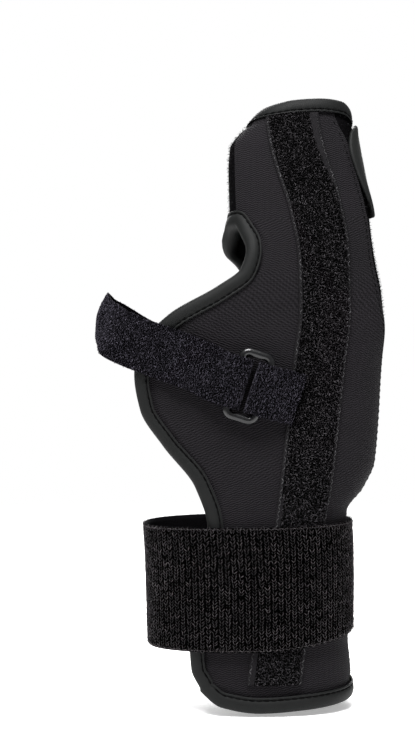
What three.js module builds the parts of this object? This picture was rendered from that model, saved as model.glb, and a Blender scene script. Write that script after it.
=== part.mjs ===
// A boxer fracture splint for the right hand, in the shape it has when worn: a padded gauntlet
// that covers the back, outer border and palm side of the ring and little fingers, with bound
// edges, a long pile strip over the back, a hand strap drawn through a ring, and a wrist strap.
// Millimetres. +Z runs up the hand to the fingertips, -Y is the back of the hand (dorsal),
// +X is the little-finger border (ulnar), and the origin is the middle of the wrist hollow.

import * as THREE from "three";

// Driving dimensions.
const WALL = 3.2; // padded laminate of the two panels
const GAP = 0.35; // clearance between pieces that touch
const SEAM_GAP = 0.4; // between the two panels where they are sewn edge to edge
const TAPE = 0.75; // binding tape
const TAPE_WIDTH = 4.3; // how far the folded tape reaches in from the edge
const TAPE_ROLL = 0.7; // how far the tape's fold stands off the panel's edge
const TAPE_FOLD_GAP = 0.75; // between the tape's fold and the panel's edge
const TAPE_LINING_GAP = 1.15; // looser fit of the tape on the inside, where the panel curves tightly
const STRIP_WIDTH = 19;
const STRIP_THICK = 1.2;
const SEAM_LIFT = 0.9; // rise of the back panel's edge over the palm panel's fabric at the seam
const SEAM_LIFT_WIDTH = 8;
const SEAM_LIFT_Z = [30, 160];
const TAB_THICK = 1.4;
const WRIST_STRAP_THICK = 1.8;
const HAND_STRAP_WIDTH = 18.1;
const HAND_STRAP_THICK = 1.5;
const RING_WINDOW = [19.8, 7.2]; // across the strap, along the strap
const RING_BAR = 3.0;
const FOLD_REACH = 3.6; // how far webbing folded round a bar bulges past the bar's middle
const STRAP_RETURN = 18; // length of the strap folded back under itself at the ring

const DEGREE = Math.PI / 180;
const FULL_TURN = 360; // angles round the hand: 0 thumb side, 90 back, 180 little finger, 270 palm

// Hand form: the outer face of the laminate, one oval for each height.
const FORM = [
  { z: -50, radial: -33.0, ulnar: 36.0, dorsal: -25.0, volar: 24.0, power: 2.4 },
  { z: -32, radial: -33.6, ulnar: 36.7, dorsal: -25.2, volar: 24.3, power: 2.4 },
  { z: -19, radial: -34.0, ulnar: 35.6, dorsal: -25.4, volar: 24.6, power: 2.4 },
  { z: 8, radial: -34.8, ulnar: 35.7, dorsal: -25.2, volar: 25.0, power: 2.4 },
  { z: 26, radial: -36.0, ulnar: 35.1, dorsal: -24.5, volar: 24.6, power: 2.4 },
  { z: 35, radial: -38.5, ulnar: 40.8, dorsal: -24.2, volar: 24.2, power: 2.4 },
  { z: 44, radial: -42.0, ulnar: 44.8, dorsal: -24.0, volar: 23.2, power: 2.4 },
  { z: 60, radial: -49.5, ulnar: 46.0, dorsal: -23.6, volar: 20.2, power: 2.5 },
  { z: 80, radial: -56.3, ulnar: 46.8, dorsal: -23.2, volar: 16.0, power: 2.5 },
  { z: 94, radial: -55.8, ulnar: 47.9, dorsal: -22.8, volar: 13.2, power: 2.5 },
  { z: 105, radial: -51.5, ulnar: 47.0, dorsal: -22.0, volar: 11.6, power: 2.5 },
  { z: 114, radial: -34.0, ulnar: 45.2, dorsal: -20.8, volar: 10.6, power: 2.5 },
  { z: 123, radial: -11.0, ulnar: 43.8, dorsal: -18.8, volar: 10.4, power: 2.5 },
  { z: 127, radial: -7.4, ulnar: 43.4, dorsal: -17.7, volar: 10.7, power: 2.5 },
  { z: 131, radial: -6.6, ulnar: 43.0, dorsal: -16.4, volar: 11.2, power: 2.5 },
  { z: 149, radial: -6.9, ulnar: 40.4, dorsal: -10.2, volar: 15.8, power: 2.5 },
  { z: 157, radial: -6.4, ulnar: 39.2, dorsal: -7.3, volar: 18.2, power: 2.5 },
  { z: 163, radial: -2.4, ulnar: 38.3, dorsal: -5.0, volar: 20.0, power: 2.5 },
  { z: 168, radial: 2.6, ulnar: 37.4, dorsal: -3.0, volar: 21.4, power: 2.5 },
  { z: 176, radial: 8.4, ulnar: 36.4, dorsal: 0.0, volar: 23.6, power: 2.5 },
];

// Thumb-side edges of the two panels below the finger crotch, as x at each height.
const EDGES = [
  { z: -33, dorsal: -16.2, volar: -9.0 },
  { z: -27, dorsal: -19.2, volar: -13.0 },
  { z: -18, dorsal: -19.8, volar: -15.5 },
  { z: 22, dorsal: -13.4, volar: -11.0 },
  { z: 36.5, dorsal: -17.8, volar: -14.0 },
  { z: 51, dorsal: -29.4, volar: -20.0 },
  { z: 63, dorsal: -37.1, volar: -25.0 },
  { z: 75, dorsal: -39.0, volar: -26.5 },
  { z: 85, dorsal: -36.5, volar: -24.0 },
  { z: 95, dorsal: -27.3, volar: -17.0 },
  { z: 105, dorsal: -10.1, volar: -6.0 },
  { z: 111.5, dorsal: -1.8, volar: -0.5 },
  { z: 118.7, dorsal: 0.1, volar: 1.0 },
  { z: 127, dorsal: -1.6, volar: -1.0 },
];
// The two edges meet at the crotch, and run on up the thumb side of the finger sleeve as a seam.
const CROTCH = { z: 128.8, angle: 31, dorsalStart: 121, volarStart: 109.5 };

// Bottom edge of the gauntlet and top rim of the finger sleeve, by angle round the hand.
const BOTTOM = [
  { angle: 53, z: -28.6 },
  { angle: 62.6, z: -34.8 },
  { angle: 72, z: -38.8 },
  { angle: 93, z: -40.7 },
  { angle: 119, z: -39.9 },
  { angle: 148, z: -38.9 },
  { angle: 186, z: -38.0 },
  { angle: 238, z: -38.4 },
  { angle: 270, z: -37.8 },
  { angle: 282, z: -35.6 },
  { angle: 289, z: -32.6 },
  { angle: 296, z: -28.3 },
];
const RIM = [
  { angle: -40, z: 167.6 },
  { angle: 0, z: 168.8 },
  { angle: 33, z: 170.7 },
  { angle: 54, z: 171.8 },
  { angle: 71, z: 172.7 },
  { angle: 109, z: 173.3 },
  { angle: 139, z: 172.7 },
  { angle: 161, z: 171.0 },
  { angle: 213, z: 169.0 },
  { angle: 270, z: 167.8 },
  { angle: 320, z: 167.6 },
  { angle: 360, z: 168.8 },
  { angle: 393, z: 170.7 },
];

// Line where the back panel ends on the little-finger border, as an angle at each height.
const SEAM = [
  { z: -50, angle: 186 },
  { z: 66, angle: 185 },
  { z: 85, angle: 176 },
  { z: 101, angle: 161 },
  { z: 134, angle: 152 },
  { z: 146, angle: 147 },
  { z: 159, angle: 140 },
  { z: 167, angle: 130 },
  { z: 176, angle: 124 },
];

const SEAM_Z = { bottom: -38.0, top: 173.2 };

// Middle of the pile strip on the back, as x at each height.
const STRIP = [
  { z: -32, x: 8.4 },
  { z: -20, x: 10.0 },
  { z: 24, x: 18.1 },
  { z: 52, x: 21.6 },
  { z: 80, x: 24.8 },
  { z: 98, x: 26.8 },
  { z: 113, x: 26.5 },
  { z: 135, x: 23.0 },
  { z: 150, x: 18.8 },
  { z: 158, x: 16.9 },
  { z: 167, x: 15.7 },
];

// Rounded end of the finger tab on the little-finger border, as an angle at each height.
const TAB = [
  { z: 131, angle: 172 },
  { z: 138, angle: 153 },
  { z: 146, angle: 144 },
  { z: 154.5, angle: 139.5 },
  { z: 161, angle: 143.5 },
  { z: 164.5, angle: 157 },
];
const TAB_END = { angle: 242, drop: 4 }; // on the palm side, where its top edge is lower
const TAB_OVER = { lift: 1.1, share: 0.25 }; // rise of its rounded end over the back panel's edge

// Wrist strap: height of its two edges by angle, and its lapped ends on the palm side.
const WRIST_STRAP = [
  { angle: 0, top: 22.0, bottom: -20.5 },
  { angle: 90, top: 22.2, bottom: -20.4 },
  { angle: 180, top: 23.4, bottom: -14.6 },
  { angle: 270, top: 22.8, bottom: -19.4 },
  { angle: 360, top: 22.0, bottom: -20.5 },
];
const WRIST_LAP = { start: 236, end: 282, ramp: 26 };
const WRIST_CLEAR = { sides: 0.8, faces: 2.0 }; // clearance over the form, borders and flats

// Ring on the back of the hand: its middle and how far it leans down towards the pile strip.
const RING = { x: -0.4, z: 71, lean: 17.5 };

// Hand strap, from the ring round the thumb side to the palm: middle line and height off the form.
const HAND_STRAP = [
  { angle: 76, z: 78.0 },
  { angle: 57, z: 84.3 },
  { angle: 43, z: 88.7 },
  { angle: 30, z: 92.8 },
  { angle: 0, z: 97.6 },
  { angle: -30, z: 94.0 },
  { angle: -50, z: 87.2 },
  { angle: -66, z: 80.0 },
  { angle: -86, z: 73.2 },
];
const HAND_STRAP_LIFT = [
  { along: -129, lift: 0.5 },
  { along: -118, lift: 0.6 },
  { along: -112, lift: 2.0 },
  { along: -101, lift: 2.0 },
  { along: -90, lift: -2.0 },
  { along: -55, lift: -2.9 },
  { along: -43, lift: 1.6 },
  { along: -32, lift: 1.6 },
  { along: -24, lift: 1.4 },
  { along: -19, lift: 2.4 },
  { along: -9, lift: 2.9 },
  { along: -5, lift: 4.3 },
];
const RING_TAB_END = { x: 12.0, z: 67.6 };
const RING_TAB_OVER = { x: 16.8, z: 66.1 }; // end of its upper layer, sewn over the pile strip's margin

// How finely the solids are faceted.
const PANEL_ROWS = 42;
const PANEL_COLUMNS = { dorsal: 12, volar: 15 };
const BINDING_STEP = 8.3;
const RIM_STEP = 7.2;
const EDGE_FADE = 6; // how fast the bends of the bottom and top edges fade in the rows
const BEND_LENGTH = 10; // extra length that a bend of one radian counts for in the spacing
const WRIST_STEPS = 58;
const STRAP_STEP = 4.5;
const FOLD_STEPS = 6;

/** Smooth curve through (x, y) pairs that never overshoots them. */
function monotoneCurve(xs, ys) {
  const last = xs.length - 1;
  const slope = xs.slice(0, last).map((x, i) => (ys[i + 1] - ys[i]) / (xs[i + 1] - x));
  const tangent = xs.map((_, i) => {
    if (i === 0) return slope[0];
    if (i === last) return slope[last - 1];
    if (slope[i - 1] * slope[i] <= 0) return 0;
    return (2 * slope[i - 1] * slope[i]) / (slope[i - 1] + slope[i]);
  });
  return (x) => {
    const clamped = Math.min(Math.max(x, xs[0]), xs[last]);
    let i = 0;
    while (i < last - 1 && clamped > xs[i + 1]) i += 1;
    const width = xs[i + 1] - xs[i];
    const u = (clamped - xs[i]) / width;
    const v = 1 - u;
    return (
      ys[i] * (1 + 2 * u) * v * v +
      tangent[i] * width * u * v * v +
      ys[i + 1] * (1 + 2 * v) * u * u -
      tangent[i + 1] * width * v * u * u
    );
  };
}

/** Curve of one named column of a table against another. */
function curveOf(table, key, name) {
  return monotoneCurve(
    table.map((row) => row[key]),
    table.map((row) => row[name]),
  );
}

const lerp = THREE.MathUtils.lerp;
const smooth = THREE.MathUtils.smoothstep;
const form = {
  radial: curveOf(FORM, "z", "radial"),
  ulnar: curveOf(FORM, "z", "ulnar"),
  dorsal: curveOf(FORM, "z", "dorsal"),
  volar: curveOf(FORM, "z", "volar"),
  power: curveOf(FORM, "z", "power"),
};
const edgeX = { dorsal: curveOf(EDGES, "z", "dorsal"), volar: curveOf(EDGES, "z", "volar") };
const bottomZ = curveOf(BOTTOM, "angle", "z");
const rimZ = curveOf(RIM, "angle", "z");
const seamAngle = curveOf(SEAM, "z", "angle");
const stripX = curveOf(STRIP, "z", "x");
const tabAngle = curveOf(TAB, "z", "angle");

/** Point of the hand form at an angle (degrees) and a height. */
function formPoint(angle, z) {
  const power = form.power(z);
  const [cosine, sine] = [Math.cos(angle * DEGREE), Math.sin(angle * DEGREE)];
  const reach = (Math.abs(cosine) ** power + Math.abs(sine) ** power) ** (-1 / power);
  const [across, through] = [reach * cosine, reach * sine];
  const middleX = (form.radial(z) + form.ulnar(z)) / 2;
  const middleY = (form.dorsal(z) + form.volar(z)) / 2;
  const halfX = (form.ulnar(z) - form.radial(z)) / 2;
  const halfY = (form.volar(z) - form.dorsal(z)) / 2;
  return new THREE.Vector3(middleX - halfX * across, middleY - halfY * through, z);
}

/** Point, outward normal and the two tangents (per degree, per millimetre of height). */
function formFrame(angle, z) {
  const turn = 1.5;
  const rise = 0.8;
  const perAngle = formPoint(angle + turn, z).sub(formPoint(angle - turn, z)).divideScalar(2 * turn);
  const perHeight = formPoint(angle, z + rise).sub(formPoint(angle, z - rise)).divideScalar(2 * rise);
  const normal = perAngle.clone().cross(perHeight).normalize();
  return { point: formPoint(angle, z), normal, perAngle, perHeight };
}

/** Point at a height off the form. */
function offForm(angle, z, lift) {
  const { point, normal } = formFrame(angle, z);
  return point.addScaledVector(normal, lift);
}

/** Angle and height reached by going a distance over the form in a tangent direction. */
function stepOnForm(angle, z, direction, distance) {
  const target = formPoint(angle, z).addScaledVector(direction, distance);
  const place = { angle, z };
  for (let pass = 0; pass < 3; pass += 1) {
    const { point, perAngle, perHeight } = formFrame(place.angle, place.z);
    const rest = target.clone().sub(point);
    const aa = perAngle.dot(perAngle);
    const ah = perAngle.dot(perHeight);
    const hh = perHeight.dot(perHeight);
    const da = rest.dot(perAngle);
    const dh = rest.dot(perHeight);
    const determinant = aa * hh - ah * ah;
    place.angle += (da * hh - dh * ah) / determinant;
    place.z += (dh * aa - da * ah) / determinant;
  }
  return place;
}

/** Angle on the back (or, mirrored, the palm side) of the form where it has a given x. */
function angleAtX(x, z, palmSide = false) {
  const middleX = (form.radial(z) + form.ulnar(z)) / 2;
  const halfX = (form.ulnar(z) - form.radial(z)) / 2;
  const share = THREE.MathUtils.clamp((middleX - x) / halfX, -1, 1);
  const power = form.power(z);
  const through = (1 - Math.abs(share) ** power) ** (1 / power);
  const angle = Math.atan2(through, share) / DEGREE;
  return palmSide ? FULL_TURN - angle : angle;
}

/** Thumb-side edge of a panel, as an angle: it rounds off into the seam at the crotch. */
function edgeAngle(z, side) {
  const palmSide = side === "volar";
  const seam = palmSide ? FULL_TURN + CROTCH.angle : CROTCH.angle;
  if (z >= CROTCH.z) return seam;
  const first = palmSide ? CROTCH.volarStart : CROTCH.dorsalStart;
  const share = THREE.MathUtils.clamp((z - first) / (CROTCH.z - first), 0, 1);
  return lerp(angleAtX(edgeX[side](z), z, palmSide), seam, 1 - Math.sqrt(1 - share * share));
}

/** Closed band between two rows of points: each section holds an outer and an inner row. */
function bandGeometry(sections, closed) {
  const half = sections[0].outer.length;
  const loop = 2 * half;
  const positions = [];
  for (const { outer, inner } of sections) {
    for (const p of [...outer, ...[...inner].reverse()]) positions.push(p.x, p.y, p.z);
  }
  const index = [];
  const quad = (a, b, c, d) => index.push(a, b, c, a, c, d);
  const spans = closed ? sections.length : sections.length - 1;
  for (let i = 0; i < spans; i += 1) {
    const here = i * loop;
    const next = ((i + 1) % sections.length) * loop;
    for (let j = 0; j < loop; j += 1) {
      const k = (j + 1) % loop;
      quad(here + j, here + k, next + k, next + j);
    }
  }
  if (!closed) {
    const end = (sections.length - 1) * loop;
    for (let j = 0; j < half - 1; j += 1) {
      quad(j, loop - 1 - j, loop - 2 - j, j + 1);
      quad(end + j, end + j + 1, end + loop - 2 - j, end + loop - 1 - j);
    }
  }
  const geometry = new THREE.BufferGeometry();
  geometry.setAttribute("position", new THREE.Float32BufferAttribute(positions, 3));
  geometry.setIndex(faceOut(positions, index));
  geometry.computeVertexNormals();
  return geometry;
}

/** The index with every triangle turned round if the volume comes out negative. */
function faceOut(positions, index) {
  const corner = (i) => new THREE.Vector3().fromArray(positions, 3 * i);
  let volume = 0;
  for (let i = 0; i < index.length; i += 3) {
    const [a, b, c] = [corner(index[i]), corner(index[i + 1]), corner(index[i + 2])];
    volume += a.dot(b.cross(c));
  }
  if (volume >= 0) return index;
  const turned = [];
  for (let i = 0; i < index.length; i += 3) turned.push(index[i], index[i + 2], index[i + 1]);
  return turned;
}

/** Shares from 0 to 1 in even steps. */
function evenShares(count) {
  return Array.from({ length: count + 1 }, (_, i) => i / count);
}

/** Sheet over the form: chart(s, t) gives angle and height, lifts(s, t) its two faces. */
function sheetGeometry(columns, rows, chart, lifts) {
  const sections = rows.map((t) => {
    const outer = [];
    const inner = [];
    for (const s of columns) {
      const { angle, z } = chart(s, t);
      const [high, low] = lifts(s, t);
      outer.push(offForm(angle, z, high));
      inner.push(offForm(angle, z, low));
    }
    return { outer, inner };
  });
  return bandGeometry(sections, false);
}

/** Degrees that a length takes up round the form. */
function degreesFor(length, angle, z) {
  return length / formFrame(angle, z).perAngle.length();
}

/** Distance travelled along a line of {angle, z} on the form, with bends counted as extra length. */
function travelOn(line) {
  const points = line.map(({ angle, z }) => formPoint(angle, z));
  const normals = line.map(({ angle, z }) => formFrame(angle, z).normal);
  const travelled = [0];
  let heading = null;
  for (let i = 1; i < line.length; i += 1) {
    const step = points[i].clone().sub(points[i - 1]);
    const length = step.length();
    const turn = heading ? heading.angleTo(step) : 0;
    const roll = normals[i].angleTo(normals[i - 1]);
    travelled.push(travelled[i - 1] + length + BEND_LENGTH * (turn + roll));
    heading = step;
  }
  return travelled;
}

/** Interval of a rising list that holds a value, and the share of the way through it. */
function findShare(travelled, wanted) {
  let i = 0;
  while (i < travelled.length - 2 && travelled[i + 1] < wanted) i += 1;
  return { i, share: (wanted - travelled[i]) / (travelled[i + 1] - travelled[i]) };
}

// Panels.

/** Angle of a panel's thumb-side edge at its bottom corner. */
function cornerAngle(side) {
  return edgeAngle(EDGES[0].z, side);
}

/** Shares of a panel's height at which its rows lie: closer where the panels' edges bend. */
function panelRows() {
  const samples = 400;
  const shares = evenShares(samples);
  const back = travelOn(shares.map((t) => dorsalChart(0, t)));
  const palm = travelOn(shares.map((t) => volarChart(1, t)));
  const travelled = shares.map((_, i) => back[i] + 1.5 * palm[i]);
  const rows = [];
  for (let k = 0; k <= PANEL_ROWS; k += 1) {
    const { i, share } = findShare(travelled, (k / PANEL_ROWS) * travelled[samples]);
    rows.push((i + share) / samples);
  }
  return rows;
}

/** Height at shares across and up a panel, whose bottom and top edges bend only the rows near them. */
function rowHeight(low, high, s, t) {
  const level = lerp(lerp(low(0), high(0), t), lerp(low(1), high(1), t), s);
  const bottomBend = low(s) - lerp(low(0), low(1), s);
  const topBend = high(s) - lerp(high(0), high(1), s);
  return level + bottomBend * (1 - t) ** EDGE_FADE + topBend * t ** EDGE_FADE;
}

/** Angle and height on the back panel: s runs from the thumb side to the seam, t upwards. */
function dorsalChart(s, t) {
  const low = (share) => bottomZ(lerp(cornerAngle("dorsal"), seamAngle(SEAM_Z.bottom), share));
  const high = (share) => rimZ(lerp(CROTCH.angle, seamAngle(SEAM_Z.top), share));
  const startZ = lerp(low(0), high(0), t);
  const endZ = lerp(SEAM_Z.bottom, SEAM_Z.top, t);
  const start = edgeAngle(startZ, "dorsal");
  const end = seamAngle(endZ);
  const gapStart = startZ >= CROTCH.z ? degreesFor(SEAM_GAP / 2, start, startZ) : 0;
  const gapEnd = degreesFor(SEAM_GAP / 2, end, endZ);
  return { angle: lerp(start + gapStart, end - gapEnd, s), z: rowHeight(low, high, s, t) };
}

/** Angle and height on the palm panel: s runs from the seam to the thumb side, t upwards. */
function volarChart(s, t) {
  const low = (share) => bottomZ(lerp(seamAngle(SEAM_Z.bottom), cornerAngle("volar"), share));
  const high = (share) => rimZ(lerp(seamAngle(SEAM_Z.top), FULL_TURN + CROTCH.angle, share));
  const startZ = lerp(SEAM_Z.bottom, SEAM_Z.top, t);
  const endZ = lerp(low(1), high(1), t);
  const start = seamAngle(startZ);
  const end = edgeAngle(endZ, "volar");
  const gapStart = degreesFor(SEAM_GAP / 2, start, startZ);
  const gapEnd = endZ >= CROTCH.z ? degreesFor(SEAM_GAP / 2, end, endZ) : 0;
  return { angle: lerp(start + gapStart, end - gapEnd, s), z: rowHeight(low, high, s, t) };
}

/** Rise of the back panel's outer face towards the seam on the little-finger border. */
function seamLift(s, t) {
  const { angle, z } = dorsalChart(s, t);
  const end = dorsalChart(1, t).angle;
  const away = (end - angle) * formFrame(angle, z).perAngle.length();
  const [low, high] = SEAM_LIFT_Z;
  const span = smooth(z, low - 5, low + 5) * (1 - smooth(z, high - 3, high + 5));
  return SEAM_LIFT * span * (1 - smooth(away, 0, SEAM_LIFT_WIDTH));
}

function dorsalPanel() {
  const lifts = (s, t) => [seamLift(s, t), -WALL];
  return sheetGeometry(evenShares(PANEL_COLUMNS.dorsal), panelRows(), dorsalChart, lifts);
}

function volarPanel() {
  const columns = evenShares(PANEL_COLUMNS.volar);
  return sheetGeometry(columns, panelRows(), volarChart, () => [0, -WALL]);
}

// Bindings.

/** Section of folded tape over an edge, which lies at (angle, z) with the panel towards inward. */
function tapeSection(angle, z, inward) {
  const fold = -TAPE_FOLD_GAP;
  const roll = fold - TAPE_ROLL;
  const reach = [TAPE_WIDTH, TAPE_WIDTH / 2, fold];
  const lining = [fold, TAPE_WIDTH / 4, TAPE_WIDTH / 2];
  const at = (distance, lift) => {
    const place = stepOnForm(angle, z, inward, distance);
    return offForm(place.angle, place.z, lift);
  };
  const outer = [
    ...reach.map((d) => at(d, GAP + TAPE)),
    at(roll, -WALL * 0.2),
    at(roll, -WALL * 0.8),
    ...lining.map((d) => at(d, -WALL - TAPE_LINING_GAP - TAPE)),
  ];
  const inner = [
    ...reach.map((d) => at(d, GAP)),
    at(fold, -WALL * 0.2),
    at(fold, -WALL * 0.8),
    ...lining.map((d) => at(d, -WALL - TAPE_LINING_GAP)),
  ];
  return { outer, inner };
}

/** Folded tape round a closed line of {angle, z}; panelOnLeft says which side the panel is on. */
function bindingGeometry(line, panelOnLeft) {
  const sections = line.map((place, i) => {
    const before = line[(i + line.length - 1) % line.length];
    const after = line[(i + 1) % line.length];
    const along = formPoint(after.angle, after.z).sub(formPoint(before.angle, before.z));
    const { normal } = formFrame(place.angle, place.z);
    const inward = normal.clone().cross(along).normalize();
    if (!panelOnLeft) inward.negate();
    return tapeSection(place.angle, place.z, inward);
  });
  return bandGeometry(sections, true);
}

/** A closed line of {angle, z} again, with its points closer together where it bends. */
function evenlySpaced(line, step) {
  const travelled = travelOn([...line, line[0]]);
  const total = travelled[line.length];
  const count = Math.round(total / step);
  const spaced = [];
  for (let k = 0; k < count; k += 1) {
    const { i, share } = findShare(travelled, (k * total) / count);
    const next = line[(i + 1) % line.length];
    const turn = next.angle - line[i].angle;
    const wrapped = turn - FULL_TURN * Math.round(turn / FULL_TURN);
    spaced.push({
      angle: line[i].angle + share * wrapped,
      z: lerp(line[i].z, next.z, share),
    });
  }
  return spaced;
}

/** Edge of the hand opening: up the back panel, over the crotch, down the palm panel, along the bottom. */
function palmOpening() {
  const samples = 160;
  const low = { dorsal: bottomZ(cornerAngle("dorsal")), volar: bottomZ(cornerAngle("volar")) };
  const line = [];
  for (let i = 0; i < samples; i += 1) {
    const z = lerp(low.dorsal, CROTCH.z, Math.sin((i / samples) * 90 * DEGREE));
    line.push({ angle: edgeAngle(z, "dorsal"), z });
  }
  for (let i = 0; i < samples; i += 1) {
    const z = lerp(low.volar, CROTCH.z, Math.cos((i / samples) * 90 * DEGREE));
    line.push({ angle: edgeAngle(z, "volar"), z });
  }
  for (let i = 0; i < samples; i += 1) {
    const angle = lerp(cornerAngle("volar"), cornerAngle("dorsal"), i / samples);
    line.push({ angle, z: bottomZ(angle) });
  }
  return evenlySpaced(line, BINDING_STEP);
}

function palmBinding() {
  return bindingGeometry(palmOpening(), false);
}

function rimBinding() {
  const samples = 180;
  const line = [];
  for (let i = 0; i < samples; i += 1) {
    const angle = (i / samples) * FULL_TURN;
    line.push({ angle, z: rimZ(angle) });
  }
  return bindingGeometry(evenlySpaced(line, RIM_STEP), false);
}

// Strips and tab.

function pileStrip() {
  const columns = [0, 0.22, 0.6, 1]; // closer at the thumb side, where the top of the sleeve is round
  const rows = evenShares(34);
  const [low, high] = [STRIP[0].z, STRIP[STRIP.length - 1].z];
  const place = (s, z) => {
    const lean = (stripX(z + 1) - stripX(z - 1)) / 2;
    const middle = angleAtX(stripX(z), z);
    const across = (s - 0.5) * STRIP_WIDTH * Math.hypot(1, lean);
    return { angle: middle + degreesFor(across, middle, z), z };
  };
  const chart = (s, t) => {
    const rim = rimZ(place(s, high).angle) - TAPE_WIDTH - 1;
    return place(s, lerp(low, Math.min(rim, high), t));
  };
  const under = GAP + 0.15;
  const lifts = () => [under + STRIP_THICK, under];
  return sheetGeometry(columns, rows, chart, lifts);
}

function fingerTab() {
  const columns = evenShares(9);
  const rows = evenShares(8);
  const under = (s) => GAP + TAB_OVER.lift * (1 - smooth(s, 0, TAB_OVER.share));
  const chart = (s, t) => {
    const z = lerp(TAB[0].z, TAB[TAB.length - 1].z, t);
    return { angle: lerp(tabAngle(z), TAB_END.angle, s), z: z - TAB_END.drop * s * t };
  };
  return sheetGeometry(columns, rows, chart, (s) => [under(s) + TAB_THICK, under(s)]);
}

// Straps and ring.

/** Wrist strap: once round the wrist, with its free end lapped over its start on the palm side. */
function wristStrap() {
  const across = 2;
  const top = curveOf(WRIST_STRAP, "angle", "top");
  const bottom = curveOf(WRIST_STRAP, "angle", "bottom");
  const { start, end, ramp } = WRIST_LAP;
  const lapStart = start + FULL_TURN - ramp;
  const sections = [];
  for (let i = 0; i <= WRIST_STEPS; i += 1) {
    const turned = lerp(start, end + FULL_TURN, i / WRIST_STEPS);
    const angle = turned % FULL_TURN;
    const flat = smooth(Math.abs(Math.sin(angle * DEGREE)), 0.15, 0.65);
    const lap = smooth(turned, lapStart, lapStart + ramp) * (WRIST_STRAP_THICK + GAP);
    const under = lerp(WRIST_CLEAR.sides, WRIST_CLEAR.faces, flat) + lap;
    const outer = [];
    const inner = [];
    for (let j = 0; j <= across; j += 1) {
      const z = lerp(bottom(angle), top(angle), j / across);
      outer.push(offForm(angle, z, under + WRIST_STRAP_THICK));
      inner.push(offForm(angle, z, under));
    }
    sections.push({ outer, inner });
  }
  return bandGeometry(sections, false);
}

/** Middle of a long bar of the ring (side -1 towards the strap, 1 towards the tab), and more beyond. */
function ringBarPlace(side, beyond = 0) {
  const angle = angleAtX(RING.x, RING.z);
  const { perAngle, perHeight, normal } = formFrame(angle, RING.z);
  const level = perAngle.clone().normalize();
  const upright = normal.clone().cross(level).negate();
  if (upright.dot(perHeight) < 0) upright.negate();
  const lean = RING.lean * DEGREE;
  const direction = level.multiplyScalar(Math.cos(lean)).addScaledVector(upright, -Math.sin(lean));
  const distance = side * ((RING_WINDOW[1] + RING_BAR) / 2 + beyond);
  return stepOnForm(angle, RING.z, direction, distance);
}

/** Line over the form through table rows of angle and height, by the distance travelled on it. */
function surfaceLine(table) {
  const samples = 240;
  const rows = table.map((row, i) => ({ ...row, i }));
  const angleOf = curveOf(rows, "i", "angle");
  const zOf = curveOf(rows, "i", "z");
  const line = [];
  let travelled = 0;
  for (let k = 0; k <= samples; k += 1) {
    const at = (k / samples) * (table.length - 1);
    const place = { angle: angleOf(at), z: zOf(at) };
    const point = formPoint(place.angle, place.z);
    if (k > 0) travelled += point.distanceTo(line[k - 1].point);
    line.push({ ...place, point, travelled });
  }
  return line;
}

/** Place and direction at a distance along a surface line, which goes on straight past its ends. */
function placeOn(line, distance) {
  const total = line[line.length - 1].travelled;
  const inside = THREE.MathUtils.clamp(distance, 0, total);
  let k = 0;
  while (k < line.length - 2 && line[k + 1].travelled < inside) k += 1;
  const [here, next] = [line[k], line[k + 1]];
  const share = (inside - here.travelled) / (next.travelled - here.travelled);
  const direction = next.point.clone().sub(here.point).normalize();
  const place = {
    angle: lerp(here.angle, next.angle, share),
    z: lerp(here.z, next.z, share),
  };
  const past = stepOnForm(place.angle, place.z, direction, distance - inside);
  return { ...past, direction };
}

/** Ribbon over the form: its middle line is a list of {along, lift} on a surface line. */
function ribbonGeometry(line, route, width, thick) {
  const across = 3;
  const sections = route.map((here, i) => {
    const before = route[Math.max(i - 1, 0)];
    const after = route[Math.min(i + 1, route.length - 1)];
    const run = after.along - before.along;
    const rise = after.lift - before.lift;
    const length = Math.hypot(run, rise);
    const side = (offset) => {
      const along = here.along - (offset * rise) / length;
      const lift = here.lift + (offset * run) / length;
      const row = [];
      for (let j = 0; j <= across; j += 1) {
        const place = placeOn(line, along);
        const sideways = formFrame(place.angle, place.z).normal.cross(place.direction);
        const shifted = stepOnForm(place.angle, place.z, sideways, (j / across - 0.5) * width);
        row.push(offForm(shifted.angle, shifted.z, lift));
      }
      return row;
    };
    return { outer: side(thick / 2), inner: side(-thick / 2) };
  });
  return bandGeometry(sections, false);
}

// Heights off the form at the ring: strap below, bar, strap above.
const FOLD_RADIUS = RING_BAR / 2 + GAP + HAND_STRAP_THICK / 2;
const LOWER_LIFT = GAP + HAND_STRAP_THICK / 2;
const RING_LIFT = LOWER_LIFT + FOLD_RADIUS;

/** Half turn of a ribbon's middle line round a ring bar at along = 0, from the upper to the lower layer. */
function foldRoute(direction) {
  const route = [{ along: -2.2 * direction, lift: RING_LIFT + FOLD_RADIUS - 0.2 }];
  for (let i = 0; i <= FOLD_STEPS; i += 1) {
    const turn = (90 - (180 * i) / FOLD_STEPS) * DEGREE;
    route.push({
      along: direction * FOLD_REACH * Math.cos(turn),
      lift: RING_LIFT + FOLD_RADIUS * Math.sin(turn),
    });
  }
  return route;
}

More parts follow.
